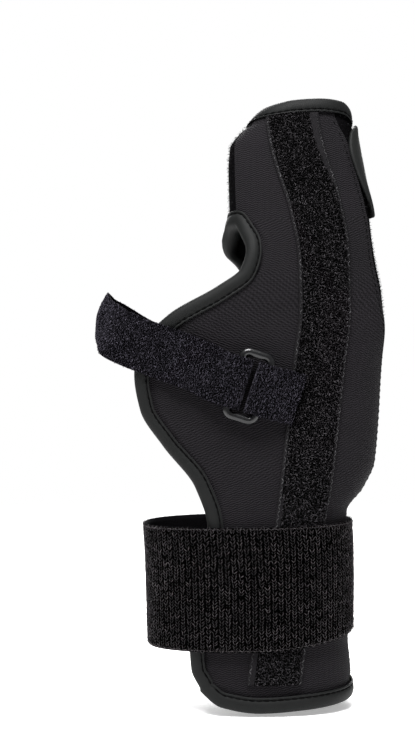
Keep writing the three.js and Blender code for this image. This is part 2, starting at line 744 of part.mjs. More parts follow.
/** Hand strap: sewn to the palm panel, round the thumb side, over the back, folded round the ring. */
function handStrap() {
  const line = surfaceLine([ringBarPlace(-1), ringBarPlace(-1, 5), ...HAND_STRAP]);
  const liftAt = curveOf(HAND_STRAP_LIFT, "along", "lift");
  const first = HAND_STRAP_LIFT[0].along;
  const last = HAND_STRAP_LIFT[HAND_STRAP_LIFT.length - 1].along;
  const steps = Math.round((last - first) / STRAP_STEP);
  const route = [];
  for (let i = 0; i <= steps; i += 1) {
    const along = lerp(first, last, i / steps);
    route.push({ along, lift: liftAt(along) + HAND_STRAP_THICK / 2 });
  }
  route.push(...foldRoute(1));
  const returnSteps = Math.round(STRAP_RETURN / STRAP_STEP);
  for (let i = 1; i <= returnSteps; i += 1) {
    route.push({ along: (-STRAP_RETURN * i) / returnSteps, lift: LOWER_LIFT });
  }
  const towardsRing = route.map(({ along, lift }) => ({ along: -along, lift }));
  return ribbonGeometry(line, towardsRing, HAND_STRAP_WIDTH, HAND_STRAP_THICK);
}

/** Tab that ties the ring down beside the pile strip: a loop of the same webbing round the far bar. */
function ringTab() {
  const [end, over] = [RING_TAB_END, RING_TAB_OVER].map(({ x, z }) => ({ angle: angleAtX(x, z), z }));
  const line = surfaceLine([ringBarPlace(1), ringBarPlace(1, 2.5), end, over]);
  const whole = line[line.length - 1].travelled;
  const length = whole - formPoint(over.angle, over.z).distanceTo(formPoint(end.angle, end.z));
  const upperEnd = LOWER_LIFT + HAND_STRAP_THICK + GAP;
  const upperMiddle = lerp(upperEnd, RING_LIFT + FOLD_RADIUS, 0.5);
  const route = [
    { along: whole, lift: upperEnd },
    { along: length, lift: upperEnd },
    { along: length / 2, lift: upperMiddle },
  ];
  route.push(...foldRoute(-1));
  route.push({ along: length / 2, lift: LOWER_LIFT }, { along: length, lift: LOWER_LIFT });
  return ribbonGeometry(line, route, HAND_STRAP_WIDTH, HAND_STRAP_THICK);
}

/** Outline of a rectangle with round corners about the origin. */
function roundedRectangle(path, width, height, radius) {
  const [w, h] = [width / 2, height / 2];
  path.moveTo(w, -h + radius);
  path.absarc(w - radius, h - radius, radius, 0, 90 * DEGREE);
  path.absarc(-w + radius, h - radius, radius, 90 * DEGREE, 180 * DEGREE);
  path.absarc(-w + radius, -h + radius, radius, 180 * DEGREE, 270 * DEGREE);
  path.absarc(w - radius, -h + radius, radius, 270 * DEGREE, 360 * DEGREE);
  return path;
}

/** Flat rectangular ring with rounded bars, in its own frame. */
function ringGeometry() {
  const bevel = RING_BAR * 0.3;
  const [width, height] = RING_WINDOW;
  const bars = 2 * (RING_BAR - bevel);
  const outline = roundedRectangle(new THREE.Shape(), width + bars, height + bars, 2.6);
  const window = roundedRectangle(new THREE.Path(), width + 2 * bevel, height + 2 * bevel, 1.3);
  outline.holes.push(window);
  const geometry = new THREE.ExtrudeGeometry(outline, {
    depth: RING_BAR - 2 * bevel,
    bevelThickness: bevel,
    bevelSize: bevel,
    bevelSegments: 1,
    curveSegments: 3,
  });
  return geometry.translate(0, 0, -(RING_BAR - 2 * bevel) / 2);
}

/** The ring laid on the back between the ends of the strap and the tab. */
function placeRing(mesh) {
  const [strapBar, tabBar] = [ringBarPlace(-1), ringBarPlace(1)];
  const angle = angleAtX(RING.x, RING.z);
  const { normal } = formFrame(angle, RING.z);
  const along = formPoint(tabBar.angle, tabBar.z).sub(formPoint(strapBar.angle, strapBar.z));
  along.addScaledVector(normal, -along.dot(normal)).normalize();
  const across = normal.clone().cross(along);
  mesh.position.copy(offForm(angle, RING.z, RING_LIFT));
  mesh.setRotationFromMatrix(new THREE.Matrix4().makeBasis(across, along.negate(), normal));
}

// Finishes.
const laminate = { color: 0x26252a, roughness: 0.85, metalness: 0 };
const tape = { color: 0x2c2f30, roughness: 0.6, metalness: 0 };
const pile = { color: 0x131315, roughness: 1, metalness: 0 };
const elastic = { color: 0x1b1b1f, roughness: 0.95, metalness: 0 };
const ringFinish = { color: 0x33353a, roughness: 0.3, metalness: 0.2 };

function piece(name, geometry, finish) {
  const mesh = new THREE.Mesh(geometry, new THREE.MeshStandardMaterial(finish));
  mesh.name = name;
  return mesh;
}

const splint = new THREE.Group();
splint.add(
  piece("dorsal_panel", dorsalPanel(), laminate),
  piece("volar_panel", volarPanel(), laminate),
  piece("palm_binding", palmBinding(), tape),
  piece("rim_binding", rimBinding(), tape),
  piece("pile_strip", pileStrip(), pile),
  piece("finger_tab", fingerTab(), tape),
  piece("wrist_strap", wristStrap(), elastic),
  piece("hand_strap", handStrap(), elastic),
  piece("ring_tab", ringTab(), elastic),
);
const ring = piece("strap_ring", ringGeometry(), ringFinish);
placeRing(ring);
splint.add(ring);

export default splint;
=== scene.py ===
"""Looks of a boxer fracture splint for the right hand.

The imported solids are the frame. Each is replaced by a finer piece made from the same tables: two padded
panels with bound edges, a pile strip, a finger tab, a knitted wrist strap and a hand strap with its ring.
Sizes are in millimetres until a mesh is made, and meshes are in metres. +Z runs up the hand, -Y is the
back of the hand and +X its little-finger border.
"""

import logging
import math
from dataclasses import dataclass, field, replace
from enum import Enum
from typing import Any, Sequence

import bpy
import numpy as np
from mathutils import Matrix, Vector
from numpy.typing import NDArray


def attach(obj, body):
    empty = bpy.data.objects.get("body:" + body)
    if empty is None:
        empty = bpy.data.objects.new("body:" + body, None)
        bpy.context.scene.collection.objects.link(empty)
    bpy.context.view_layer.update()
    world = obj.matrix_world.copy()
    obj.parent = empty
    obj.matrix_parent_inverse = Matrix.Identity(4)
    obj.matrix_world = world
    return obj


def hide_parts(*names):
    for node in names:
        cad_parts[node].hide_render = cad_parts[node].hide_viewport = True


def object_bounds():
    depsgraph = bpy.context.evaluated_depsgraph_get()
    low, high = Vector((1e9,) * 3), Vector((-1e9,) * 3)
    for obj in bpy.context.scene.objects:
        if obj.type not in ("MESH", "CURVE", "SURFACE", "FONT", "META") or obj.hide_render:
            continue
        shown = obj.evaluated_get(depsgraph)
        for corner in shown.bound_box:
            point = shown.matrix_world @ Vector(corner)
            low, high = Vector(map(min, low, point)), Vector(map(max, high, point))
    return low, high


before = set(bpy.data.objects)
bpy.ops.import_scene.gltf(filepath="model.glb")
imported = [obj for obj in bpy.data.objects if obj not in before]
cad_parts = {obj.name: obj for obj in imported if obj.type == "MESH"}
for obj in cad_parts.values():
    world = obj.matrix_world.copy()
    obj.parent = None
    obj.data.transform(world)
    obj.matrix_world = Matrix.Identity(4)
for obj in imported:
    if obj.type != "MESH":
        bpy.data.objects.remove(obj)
CAD_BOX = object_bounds()

Array = NDArray[np.float64]
Ints = NDArray[np.int64]
Pair = tuple[float, float]
Triple = tuple[float, float, float]
Colour = Triple

LOG = logging.getLogger("splint")
MM = 0.001
DEGREE = math.pi / 180
FULL_TURN = 360.0
QUARTER_TURN = 90.0
ROOT = "root"
CLOTH_MAP = "cloth"  # layer of cloth coordinates, in millimetres

WALL = 3.2  # padded laminate
GAP = 0.35  # clearance between pieces that touch
SEAM_LAP = 0.4  # how far the sewn edges of the two panels go into each other
TAPE_WIDTH = 4.3  # how far a folded tape reaches in from the edge
THREAD_LIFT = 0.06  # how far a row of stitches stands off its cloth
LOOK_AHEAD = 0.3  # step along a row of stitches that gives its direction
FAR = 99.0  # stands in for the distance to an edge that isn't there

# Hand form, the outer face of the laminate: z, radial, ulnar, dorsal, volar, power of the oval.
FORM = (
    (-50, -33.0, 36.0, -25.0, 24.0, 2.4),
    (-32, -33.6, 36.7, -25.2, 24.3, 2.4),
    (-19, -34.0, 35.6, -25.4, 24.6, 2.4),
    (8, -34.8, 35.7, -25.2, 25.0, 2.4),
    (26, -36.0, 35.1, -24.5, 24.6, 2.4),
    (35, -38.5, 40.8, -24.2, 24.2, 2.4),
    (44, -42.0, 44.8, -24.0, 23.2, 2.4),
    (60, -49.5, 46.0, -23.6, 20.2, 2.5),
    (80, -56.3, 46.8, -23.2, 16.0, 2.5),
    (94, -55.8, 47.9, -22.8, 13.2, 2.5),
    (105, -51.5, 47.0, -22.0, 11.6, 2.5),
    (114, -34.0, 45.2, -20.8, 10.6, 2.5),
    (123, -11.0, 43.8, -18.8, 10.4, 2.5),
    (127, -7.4, 43.4, -17.7, 10.7, 2.5),
    (131, -6.6, 43.0, -16.4, 11.2, 2.5),
    (149, -6.9, 40.4, -10.2, 15.8, 2.5),
    (157, -6.4, 39.2, -7.3, 18.2, 2.5),
    (163, -2.4, 38.3, -5.0, 20.0, 2.5),
    (168, 2.6, 37.4, -3.0, 21.4, 2.5),
    (176, 8.4, 36.4, 0.0, 23.6, 2.5),
)
# Thumb-side edges of the panels: z, x on the back, x on the palm side.
EDGES = (
    (-33, -16.2, -9.0),
    (-27, -19.2, -13.0),
    (-18, -19.8, -15.5),
    (22, -13.4, -11.0),
    (36.5, -17.8, -14.0),
    (51, -29.4, -20.0),
    (63, -37.1, -25.0),
    (75, -39.0, -26.5),
    (85, -36.5, -24.0),
    (95, -27.3, -17.0),
    (105, -10.1, -6.0),
    (111.5, -1.8, -0.5),
    (118.7, 0.1, 1.0),
    (127, -1.6, -1.0),
)
# Bottom edge and top rim: angle round the hand, z.
BOTTOM = (
    (53, -28.6), (62.6, -34.8), (72, -38.8), (93, -40.7), (119, -39.9), (148, -38.9),
    (186, -38.0), (238, -38.4), (270, -37.8), (282, -35.6), (289, -32.6), (296, -28.3),
)
RIM = (
    (-40, 167.6), (0, 168.8), (33, 170.7), (54, 171.8), (71, 172.7), (109, 173.3), (139, 172.7),
    (161, 171.0), (213, 169.0), (270, 167.8), (320, 167.6), (360, 168.8), (393, 170.7),
)
# Little-finger seam: z, angle.
SEAM = (
    (-50, 186), (66, 185), (85, 176), (101, 161), (134, 152), (146, 147), (159, 140),
    (167, 130), (176, 124),
)


def smooth(value: Array | float, low: float, high: float) -> Array:
    """Rise from 0 to 1 between two values, with level ends."""
    share = np.clip((np.asarray(value, float) - low) / (high - low), 0, 1)
    return share * share * (3 - 2 * share)


def mixed(first: Any, second: Any, share: Any) -> Any:
    """Value a share of the way from the first to the second."""
    return first + (second - first) * share


def unit(vectors: Array) -> Array:
    """Vectors with a length of one."""
    return vectors / np.maximum(np.linalg.norm(vectors, axis=-1, keepdims=True), 1e-12)


def run_lengths(points: Array) -> Array:
    """Distance travelled at each point of a line, or of each row of a grid.

    Args:
        points: Points in order along the line or the rows.

    Returns:
        Distances, which start at 0.
    """
    steps = np.linalg.norm(np.diff(points, axis=-2), axis=-1)
    start = np.zeros((*steps.shape[:-1], 1))
    return np.concatenate([start, np.cumsum(steps, -1)], -1)


def read_line(line: Array, travelled: Array, wanted: Array) -> Array:
    """Points of a line at wanted distances along it."""
    return np.stack([np.interp(wanted, travelled, column) for column in line.T], -1)


def levelled(vectors: Array, normal: Array) -> Array:
    """Directions with their part along a normal taken out."""
    return unit(vectors - normal * (vectors * normal).sum(-1, keepdims=True))


def hump(value: Array | float, middle: float, width: float) -> Array:
    """Bell of height 1 round a middle value."""
    return np.exp(-(((value - middle) / width) ** 2))


class Curve:
    """Smooth curve through table rows that never overshoots them."""

    def __init__(self, table: Sequence[Sequence[float]], column: int = 1) -> None:
        """Fits the curve.

        Args:
            table: Rows whose first column rises.
            column: Which column the curve gives.
        """
        self.x = np.array([row[0] for row in table], float)
        self.y = np.array([row[column] for row in table], float)
        slope = np.diff(self.y) / np.diff(self.x)
        same_way = slope[:-1] * slope[1:] > 0
        total = np.where(same_way, slope[:-1] + slope[1:], 1.0)
        inside = np.where(same_way, 2 * slope[:-1] * slope[1:] / total, 0.0)
        self.tangent = np.concatenate([slope[:1], inside, slope[-1:]])

    def __call__(self, x: Array | float) -> Array:
        """Values of the curve.

        Args:
            x: Where to read it; it stays level past its ends.

        Returns:
            One value for each x.
        """
        at = np.clip(np.asarray(x, float), self.x[0], self.x[-1])
        i = np.clip(np.searchsorted(self.x, at) - 1, 0, len(self.x) - 2)
        width = self.x[i + 1] - self.x[i]
        u = (at - self.x[i]) / width
        v = 1 - u
        ends = self.y[i] * (1 + 2 * u) * v * v + self.y[i + 1] * (1 + 2 * v) * u * u
        return ends + width * u * v * (self.tangent[i] * v - self.tangent[i + 1] * u)


class Ripple:
    """Soft random waves over space, the same at each run."""

    def __init__(self, seed: int, wavelength: float, count: int = 9) -> None:
        """Draws the waves.

        Args:
            seed: Start of the random draws.
            wavelength: Usual length of a wave in millimetres.
            count: How many waves are added.
        """
        draw = np.random.default_rng(seed)
        heading = unit(draw.normal(size=(count, 3)))
        self.pace = heading * (2 * math.pi / wavelength) * draw.uniform(0.7, 1.4, (count, 1))
        self.phase = draw.uniform(0, 2 * math.pi, count)

    def __call__(self, points: Array) -> Array:
        """Height of the waves, mostly between -1 and 1, at each point."""
        return np.sin(points @ self.pace.T + self.phase).sum(-1) / math.sqrt(2 * len(self.phase))


# Slight unevenness of each cloth.
PADDING_WAVES = Ripple(3, 34.0)
LINING_WAVES = Ripple(5, 22.0)
TAPE_WAVES = Ripple(7, 26.0)
PILE_WAVES = Ripple(13, 9.0)
TAB_WAVES = Ripple(19, 15.0)


class Side(Enum):
    """The two faces of the hand."""

    BACK = 1
    PALM = 2


@dataclass(frozen=True)
class HandForm:
    """Outer face of the laminate, as ovals whose sizes change with height."""

    radial: Curve = field(default_factory=lambda: Curve(FORM, 1))
    ulnar: Curve = field(default_factory=lambda: Curve(FORM, 2))
    dorsal: Curve = field(default_factory=lambda: Curve(FORM, 3))
    volar: Curve = field(default_factory=lambda: Curve(FORM, 4))
    power: Curve = field(default_factory=lambda: Curve(FORM, 5))
    turn: float = 1.5
    rise: float = 0.8

    def point(self, angle: Array | float, z: Array | float) -> Array:
        """Points of the form.

        Args:
            angle: Degrees round the hand: 0 thumb side, 90 back, 180 little finger, 270 palm.
            z: Heights.

        Returns:
            Points, with x, y and z on the last axis.
        """
        angle, z = np.broadcast_arrays(np.asarray(angle, float), np.asarray(z, float))
        power = self.power(z)
        cosine = np.cos(angle * DEGREE)
        sine = np.sin(angle * DEGREE)
        reach = (np.abs(cosine) ** power + np.abs(sine) ** power) ** (-1 / power)
        radial, ulnar, dorsal, volar = self.radial(z), self.ulnar(z), self.dorsal(z), self.volar(z)
        x = (radial + ulnar) / 2 - (ulnar - radial) / 2 * reach * cosine
        y = (dorsal + volar) / 2 - (volar - dorsal) / 2 * reach * sine
        return np.stack([x, y, z], axis=-1)

    def tangents(self, angle: Array, z: Array) -> tuple[Array, Array]:
        """Directions along the form.

        Args:
            angle: Angles of the places.
            z: Heights of the places.

        Returns:
            Directions per degree and per millimetre of height.
        """
        per_angle = self.point(angle + self.turn, z) - self.point(angle - self.turn, z)
        per_height = self.point(angle, z + self.rise) - self.point(angle, z - self.rise)
        return per_angle / (2 * self.turn), per_height / (2 * self.rise)

    def outward(self, angle: Array, z: Array) -> Array:
        """Directions straight out of the form."""
        per_angle, per_height = self.tangents(np.asarray(angle, float), np.asarray(z, float))
        return unit(np.cross(per_angle, per_height))

    def raised(self, angle: Array, z: Array, lift: Array | float) -> Array:
        """Points at a height off the form."""
        height = np.broadcast_to(np.asarray(lift, float), np.broadcast(angle, z, lift).shape)
        return self.point(angle, z) + self.outward(angle, z) * height[..., None]

    def walked(self, angle: Array, z: Array, heading: Array, distance: Array | float) -> tuple[Array, Array]:
        """Places reached by going over the form.

        Args:
            angle: Angles to start from.
            z: Heights to start from.
            heading: Directions along the form.
            distance: How far to go.

        Returns:
            The angles and heights reached.
        """
        target = self.point(angle, z) + heading * np.asarray(distance, float)[..., None]
        angle, z = np.broadcast_arrays(np.asarray(angle, float), np.asarray(z, float))
        for _ in range(3):
            per_angle, per_height = self.tangents(angle, z)
            rest = target - self.point(angle, z)
            aa = (per_angle * per_angle).sum(-1)
            ah = (per_angle * per_height).sum(-1)
            hh = (per_height * per_height).sum(-1)
            da = (rest * per_angle).sum(-1)
            dh = (rest * per_height).sum(-1)
            scale = aa * hh - ah * ah
            angle = angle + (da * hh - dh * ah) / scale
            z = z + (dh * aa - da * ah) / scale
        return angle, z

    def angle_at(self, x: Array | float, z: Array | float, side: Side = Side.BACK) -> Array:
        """Angles on one side of the form where it has these x.

        Args:
            x: Wanted x.
            z: Heights.
            side: Which side of the hand.

        Returns:
            Angles in degrees.
        """
        middle = (self.radial(z) + self.ulnar(z)) / 2
        half = (self.ulnar(z) - self.radial(z)) / 2
        share = np.clip((middle - x) / half, -1, 1)
        power = self.power(z)
        angle = np.arctan2((1 - np.abs(share) ** power) ** (1 / power), share) / DEGREE
        return angle if side is Side.BACK else FULL_TURN - angle

    def degrees_for(self, length: Array | float, angle: Array, z: Array) -> Array:
        """Degrees that a length takes up round the form."""
        return length / np.linalg.norm(self.tangents(angle, z)[0], axis=-1)


@dataclass(frozen=True)
class Outline:
    """Edges of the two panels over the hand form."""

    form: HandForm = field(default_factory=HandForm)
    edge_back: Curve = field(default_factory=lambda: Curve(EDGES, 1))
    edge_palm: Curve = field(default_factory=lambda: Curve(EDGES, 2))
    bottom: Curve = field(default_factory=lambda: Curve(BOTTOM))
    rim: Curve = field(default_factory=lambda: Curve(RIM))
    seam: Curve = field(default_factory=lambda: Curve(SEAM))
    seam_span: Pair = (-38.0, 173.2)  # heights of the little-finger seam's ends
    crotch_z: float = 128.8
    crotch_angle: float = 31.0
    crotch_lean: float = 10.0  # degrees that the crotch seam turns to the palm side
    lean_span: Pair = (150.0, 168.0)  # heights between which it turns
    blend_back: float = 121.0  # heights where the open edges start to round off into the crotch
    blend_palm: float = 109.5
    edge_fade: float = 6.0  # how fast the bends of the bottom and the rim fade inside a panel
    line_points: int = 900

    def crotch_seam(self, z: Array | float, side: Side) -> Array:
        """Angles of the seam that runs up from the finger crotch and turns to the palm side near the rim."""
        angle = self.crotch_angle - self.crotch_lean * smooth(z, *self.lean_span)
        return angle if side is Side.BACK else FULL_TURN + angle

    def edge_angle(self, z: Array | float, side: Side) -> Array:
        """Thumb-side edge of a panel, which rounds off into the crotch seam.

        Args:
            z: Heights.
            side: Which panel.

        Returns:
            Angles of the edge.
        """
        z = np.asarray(z, float)
        first = self.blend_back if side is Side.BACK else self.blend_palm
        edge = self.edge_back if side is Side.BACK else self.edge_palm
        share = np.clip((z - first) / (self.crotch_z - first), 0, 1)
        open_edge = self.form.angle_at(edge(z), z, side)
        return mixed(open_edge, self.crotch_seam(z, side), 1 - np.sqrt(1 - share * share))

    def corner(self, side: Side) -> float:
        """Angle of a panel's bottom corner."""
        return float(self.edge_angle(EDGES[0][0], side))

    def chart(self, side: Side, s: Array, t: Array) -> tuple[Array, Array]:
        """Places on a panel.

        Args:
            side: Which panel.
            s: Shares across it, from the thumb-side edge to the little-finger seam.
            t: Shares up it.

        Returns:
            Angles and heights.
        """
        corner, crotch = self.corner(side), float(self.crotch_seam(self.lean_span[1], side))
        seam_low, seam_high = (float(self.seam(z)) for z in self.seam_span)
        ends = np.array([corner, seam_low]), np.array([crotch, seam_high])
        low, high = self.bottom(ends[0]), self.rim(ends[1])
        edge_z = mixed(low[0], high[0], t)
        seam_z = mixed(*self.seam_span, t)
        level = mixed(edge_z, mixed(low[1], high[1], t), s)
        bottom_bend = self.bottom(mixed(corner, seam_low, s)) - mixed(low[0], low[1], s)
        top_bend = self.rim(mixed(crotch, seam_high, s)) - mixed(high[0], high[1], s)
        z = level + bottom_bend * (1 - t) ** self.edge_fade + top_bend * t**self.edge_fade
        edge, seam = self.edge_angle(edge_z, side), self.seam(seam_z)
        away = 1 if side is Side.BACK else -1
        edge_lap = self.form.degrees_for(SEAM_LAP / 2, edge, edge_z) * (edge_z >= self.crotch_z)
        seam_lap = self.form.degrees_for(SEAM_LAP / 2, seam, seam_z)
        return mixed(edge - away * edge_lap, seam + away * seam_lap, s), z

    def opening(self) -> tuple[Array, Array]:
        """Closed line round the hand opening: up the back, down the palm side and along the bottom.

        Returns:
            Angles and heights of the line.
        """
        share = np.linspace(0, 1, self.line_points, endpoint=False)
        back, palm = self.corner(Side.BACK), self.corner(Side.PALM)
        up = mixed(float(self.bottom(back)), self.crotch_z, np.sin(share * math.pi / 2))
        down = mixed(float(self.bottom(palm)), self.crotch_z, np.cos(share * math.pi / 2))
        along = mixed(palm, back, share)
        angle = [self.edge_angle(up, Side.BACK), self.edge_angle(down, Side.PALM), along]
        return np.concatenate(angle), np.concatenate([up, down, self.bottom(along)])

    def rim_line(self) -> tuple[Array, Array]:
        """Closed line round the top rim of the finger sleeve."""
        angle = np.linspace(0, FULL_TURN, self.line_points, endpoint=False)
        return angle, self.rim(angle)

    def evenly(self, angle: Array, z: Array, step: float) -> tuple[Array, Array, float]:
        """A closed line again with even steps.

        Args:
            angle: Angles of the line.
            z: Heights of the line.
            step: Wanted distance between points.

        Returns:
            Angles, heights and the line's length.
        """
        turns = np.diff(angle, append=angle[:1])
        turns -= FULL_TURN * np.round(turns / FULL_TURN)
        whole = np.concatenate([angle[:1], angle[0] + np.cumsum(turns)])
        heights = np.append(z, z[0])
        travelled = run_lengths(self.form.point(whole, heights))
        wanted = np.linspace(0, travelled[-1], round(travelled[-1] / step), endpoint=False)
        return np.interp(wanted, travelled, whole), np.interp(wanted, travelled, heights), travelled[-1]


@dataclass
class Skin:
    """One mesh in millimetres: points, faces, and cloth coordinates with faces of their own."""

    points: Array
    faces: Ints
    cloth: Array
    cloth_faces: Ints
    finish: Ints

    def faced_out(self) -> "Skin":
        """Turns the faces round if the mesh's volume comes out negative.

        Returns:
            The same mesh.
        """
        first = self.points[self.faces[:, 0]]
        volume = 0.0
        for k in range(1, self.faces.shape[1] - 1):
            corners = np.cross(self.points[self.faces[:, k]], self.points[self.faces[:, k + 1]])
            volume += float((first * corners).sum())
        if volume < 0:
            self.faces = self.faces[:, ::-1]
            self.cloth_faces = self.cloth_faces[:, ::-1]
        return self

    def piece(self, name: str, slot: str, finishes: Sequence[bpy.types.Material]) -> bpy.types.Object:
        """The Blender object of this mesh, riding on the root body.

        Args:
            name: Name of the piece.
            slot: Not used.
            finishes: Materials, by the mesh's finish numbers.

        Returns:
            The object.
        """
        mesh = bpy.data.meshes.new(name)
        count, corners = self.faces.shape
        mesh.vertices.add(len(self.points))
        mesh.vertices.foreach_set("co", (self.points * MM).astype(np.float32).ravel())
        mesh.loops.add(count * corners)
        mesh.loops.foreach_set("vertex_index", self.faces.astype(np.int32).ravel())
        mesh.polygons.add(count)
        mesh.polygons.foreach_set("loop_start", np.arange(0, count * corners, corners, dtype=np.int32))
        mesh.polygons.foreach_set("material_index", self.finish.astype(np.int32))
        mesh.polygons.foreach_set("use_smooth", np.ones(count, bool))
        layer = mesh.uv_layers.new(name=CLOTH_MAP)
        layer.uv.foreach_set("vector", self.cloth[self.cloth_faces.ravel()].astype(np.float32).ravel())
        mesh.update(calc_edges=True)
        mesh.validate()
        for finish in finishes:
            mesh.materials.append(finish)
        made = bpy.data.objects.new(name, mesh)
        bpy.context.scene.collection.objects.link(made)
        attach(made, ROOT)
        LOG.info("%s: %d faces", name, count)
        return made


def grid_faces(rows: int, columns: int, wrap: bool = False) -> tuple[Ints, Ints]:
    """Corner numbers of a grid's quads.

    Args:
        rows: Rows of points.
        columns: Points in a row.
        wrap: Whether the last row and column join on to the first.

    Returns:
        Faces over the points, and over cloth coordinates that repeat the first row and column at the end.
    """
    more = 1 if wrap else 0
    r, c = np.meshgrid(np.arange(rows - 1 + more), np.arange(columns - 1 + more), indexing="ij")
    corners = [(r, c), (r, c + 1), (r + 1, c + 1), (r + 1, c)]
    faces = [(a % rows) * columns + b % columns for a, b in corners]
    cloth = [a * (columns + more) + b for a, b in corners]
    return np.stack(faces, -1).reshape(-1, 4), np.stack(cloth, -1).reshape(-1, 4)


def shell(outer: Array, inner: Array, cloth: Array, inner_finish: int = 0) -> Skin:
    """Closed sheet between two grids of points.

    Args:
        outer: Grid of the outer face, rows by columns by 3.
        inner: Grid of the inner face.
        cloth: Cloth coordinates of the grid, rows by columns by 2.
        inner_finish: Finish number of the inner face; the outer face and the edges have 0.

    Returns:
        The mesh.
    """
    rows, columns = outer.shape[:2]
    quads = grid_faces(rows, columns)[0]
    index = np.arange(rows * columns).reshape(rows, columns)
    border = np.concatenate([index[0], index[1:, -1], index[-1, -2::-1], index[-2:0:-1, 0]])
    after = np.roll(border, -1)
    far = rows * columns
    rim = np.stack([after, border, border + far, after + far], -1)
    faces = np.concatenate([quads, quads[:, ::-1] + far, rim])
    finish = np.zeros(len(faces), int)
    finish[len(quads) : 2 * len(quads)] = inner_finish
    points = np.concatenate([outer.reshape(-1, 3), inner.reshape(-1, 3)])
    flat = np.tile(cloth.reshape(-1, 2), (2, 1))
    return Skin(points, faces, flat, faces, finish).faced_out()


def ring_skin(sections: Array, along: Array, around: Array) -> Skin:
    """Closed band whose sections are closed loops.

    Args:
        sections: Points, sections by points of a section by 3.
        along: Cloth coordinate of each section, with the first repeated at the end.
        around: Cloth coordinate of each point of a section, with the first repeated at the end.

    Returns:
        The mesh.
    """
    rows, columns = sections.shape[:2]
    faces, cloth_faces = grid_faces(rows, columns, wrap=True)
    cloth = np.stack(np.broadcast_arrays(along[:, None], around[None, :]), -1).reshape(-1, 2)
    finish = np.zeros(len(faces), int)
    return Skin(sections.reshape(-1, 3), faces, cloth, cloth_faces, finish).faced_out()


@dataclass
class Places:
    """Spots on a surface, with their directions along it and out of it."""

    points: Array
    along: Array
    outward: Array

    @classmethod
    def on_form(cls, form: HandForm, angle: Array, z: Array, lift: float) -> "Places":
        """Spots at a height off the form, whose along is up the hand."""
        return cls(form.raised(angle, z, lift), unit(form.tangents(angle, z)[1]), form.outward(angle, z))

    @property
    def across(self) -> Array:
        """Directions across each spot."""
        return np.cross(self.outward, self.along)


@dataclass(frozen=True)
class Strand:
    """A short length of yarn, pointed at both ends: its path and thickness in its own frame."""

    path: tuple[Triple, ...]
    radii: tuple[float, ...]
    sides: int = 4

    def template(self) -> tuple[Array, Ints]:
        """One strand; the first and last points of its path are its tips.

        Returns:
            Points and triangles.
        """
        path = np.array(self.path, float)
        tangent = unit(np.gradient(path, axis=0))
        reference = np.array([0.0, 1.0, 0.0]) if abs(tangent[:, 1]).max() < 0.9 else np.array([1.0, 0.0, 0.0])
        side = unit(np.cross(tangent, reference))
        up = np.cross(side, tangent)
        turn = np.arange(self.sides) * 2 * math.pi / self.sides
        body = path[1:-1, None] + np.array(self.radii)[:, None, None] * (
            np.cos(turn)[None, :, None] * side[1:-1, None] + np.sin(turn)[None, :, None] * up[1:-1, None]
        )
        rings = len(path) - 2
        points = np.concatenate([body.reshape(-1, 3), path[:1], path[-1:]])
        first, last = rings * self.sides, rings * self.sides + 1
        faces: list[tuple[int, int, int]] = []
        for k in range(self.sides):
            n = (k + 1) % self.sides
            faces.append((first, n, k))
            end = (rings - 1) * self.sides
            faces.append((last, end + k, end + n))
            for r in range(rings - 1):
                a, b = r * self.sides, (r + 1) * self.sides
                faces += [(a + k, a + n, b + n), (a + k, b + n, b + k)]
        return points, np.array(faces)

    def scattered(self, places: Places, sizes: Array | float = 1.0) -> Skin:
        """One mesh of this strand at every place.

        Args:
            places: Where the strands stand.
            sizes: Scale of each strand.

        Returns:
            The mesh.
        """
        local, faces = self.template()
        count = len(places.points)
        scale = np.broadcast_to(np.asarray(sizes, float), (count,))[:, None, None]
        basis = np.stack([places.along, places.across, places.outward], 1)
        points = places.points[:, None] + scale * np.einsum("kj,njd->nkd", local, basis)
        offset = np.arange(count)[:, None, None] * len(local)
        every = (faces[None] + offset).reshape(-1, 3)
        own_place = places.points[:, :1] + places.points[:, 2:]
        cloth = np.tile(local[:, :2], (count, 1)) + np.repeat(own_place, len(local), 0)
        return Skin(points.reshape(-1, 3), every, cloth, every, np.zeros(len(every), int)).faced_out()


LOOP = Strand(
    path=((-0.42, 0, -0.3), (-0.2, 0, 0.34), (0.2, 0, 0.34), (0.42, 0, -0.3)),
    radii=(0.13, 0.13),
    sides=3,
)
FIBRE = Strand(
    path=((0, 0, -0.2), (0, 0, 0.1), (0.25, 0, 0.55), (0.75, 0.1, 0.9)),
    radii=(0.07, 0.05),
    sides=3,
)
STITCH_PITCH = 2.6  # pitch that the stitch below is drawn for
STITCH = Strand(
    path=((-1.0, 0, -0.3), (-0.8, 0, 0.02), (-0.3, 0, 0.14), (0.3, 0, 0.14), (0.8, 0, 0.02), (1.0, 0, -0.3)),
    radii=(0.15, 0.2, 0.2, 0.15),
    sides=6,
)
LEFT_LEG = Strand(
    path=(
        (-0.97, 0.7, -0.35),
        (-0.82, 0.5, 0.12),
        (-0.51, 0.03, 0.28),
        (-0.19, -0.44, 0.14),
        (-0.05, -0.64, -0.35),
    ),
    radii=(0.07, 0.095, 0.07),
    sides=3,
)
RIGHT_LEG = Strand(tuple((-x, y, z) for x, y, z in LEFT_LEG.path), LEFT_LEG.radii, LEFT_LEG.sides)


def jittered(
    draw: np.random.Generator, rows: int, columns: int, inside: Pair = (0.0, 1.0)
) -> tuple[Array, Array]:
    """One random spot in each cell of a grid.

    Args:
        draw: Source of the random draws.
        rows: Cells up the grid.
        columns: Cells across it.
        inside: Least and most share of a cell.

    Returns:
        Shares up the grid and shares across it.
    """
    spot = draw.uniform(*inside, (2, rows, columns))
    return (np.arange(rows)[:, None] + spot[0]) / rows, (np.arange(columns)[None, :] + spot[1]) / columns


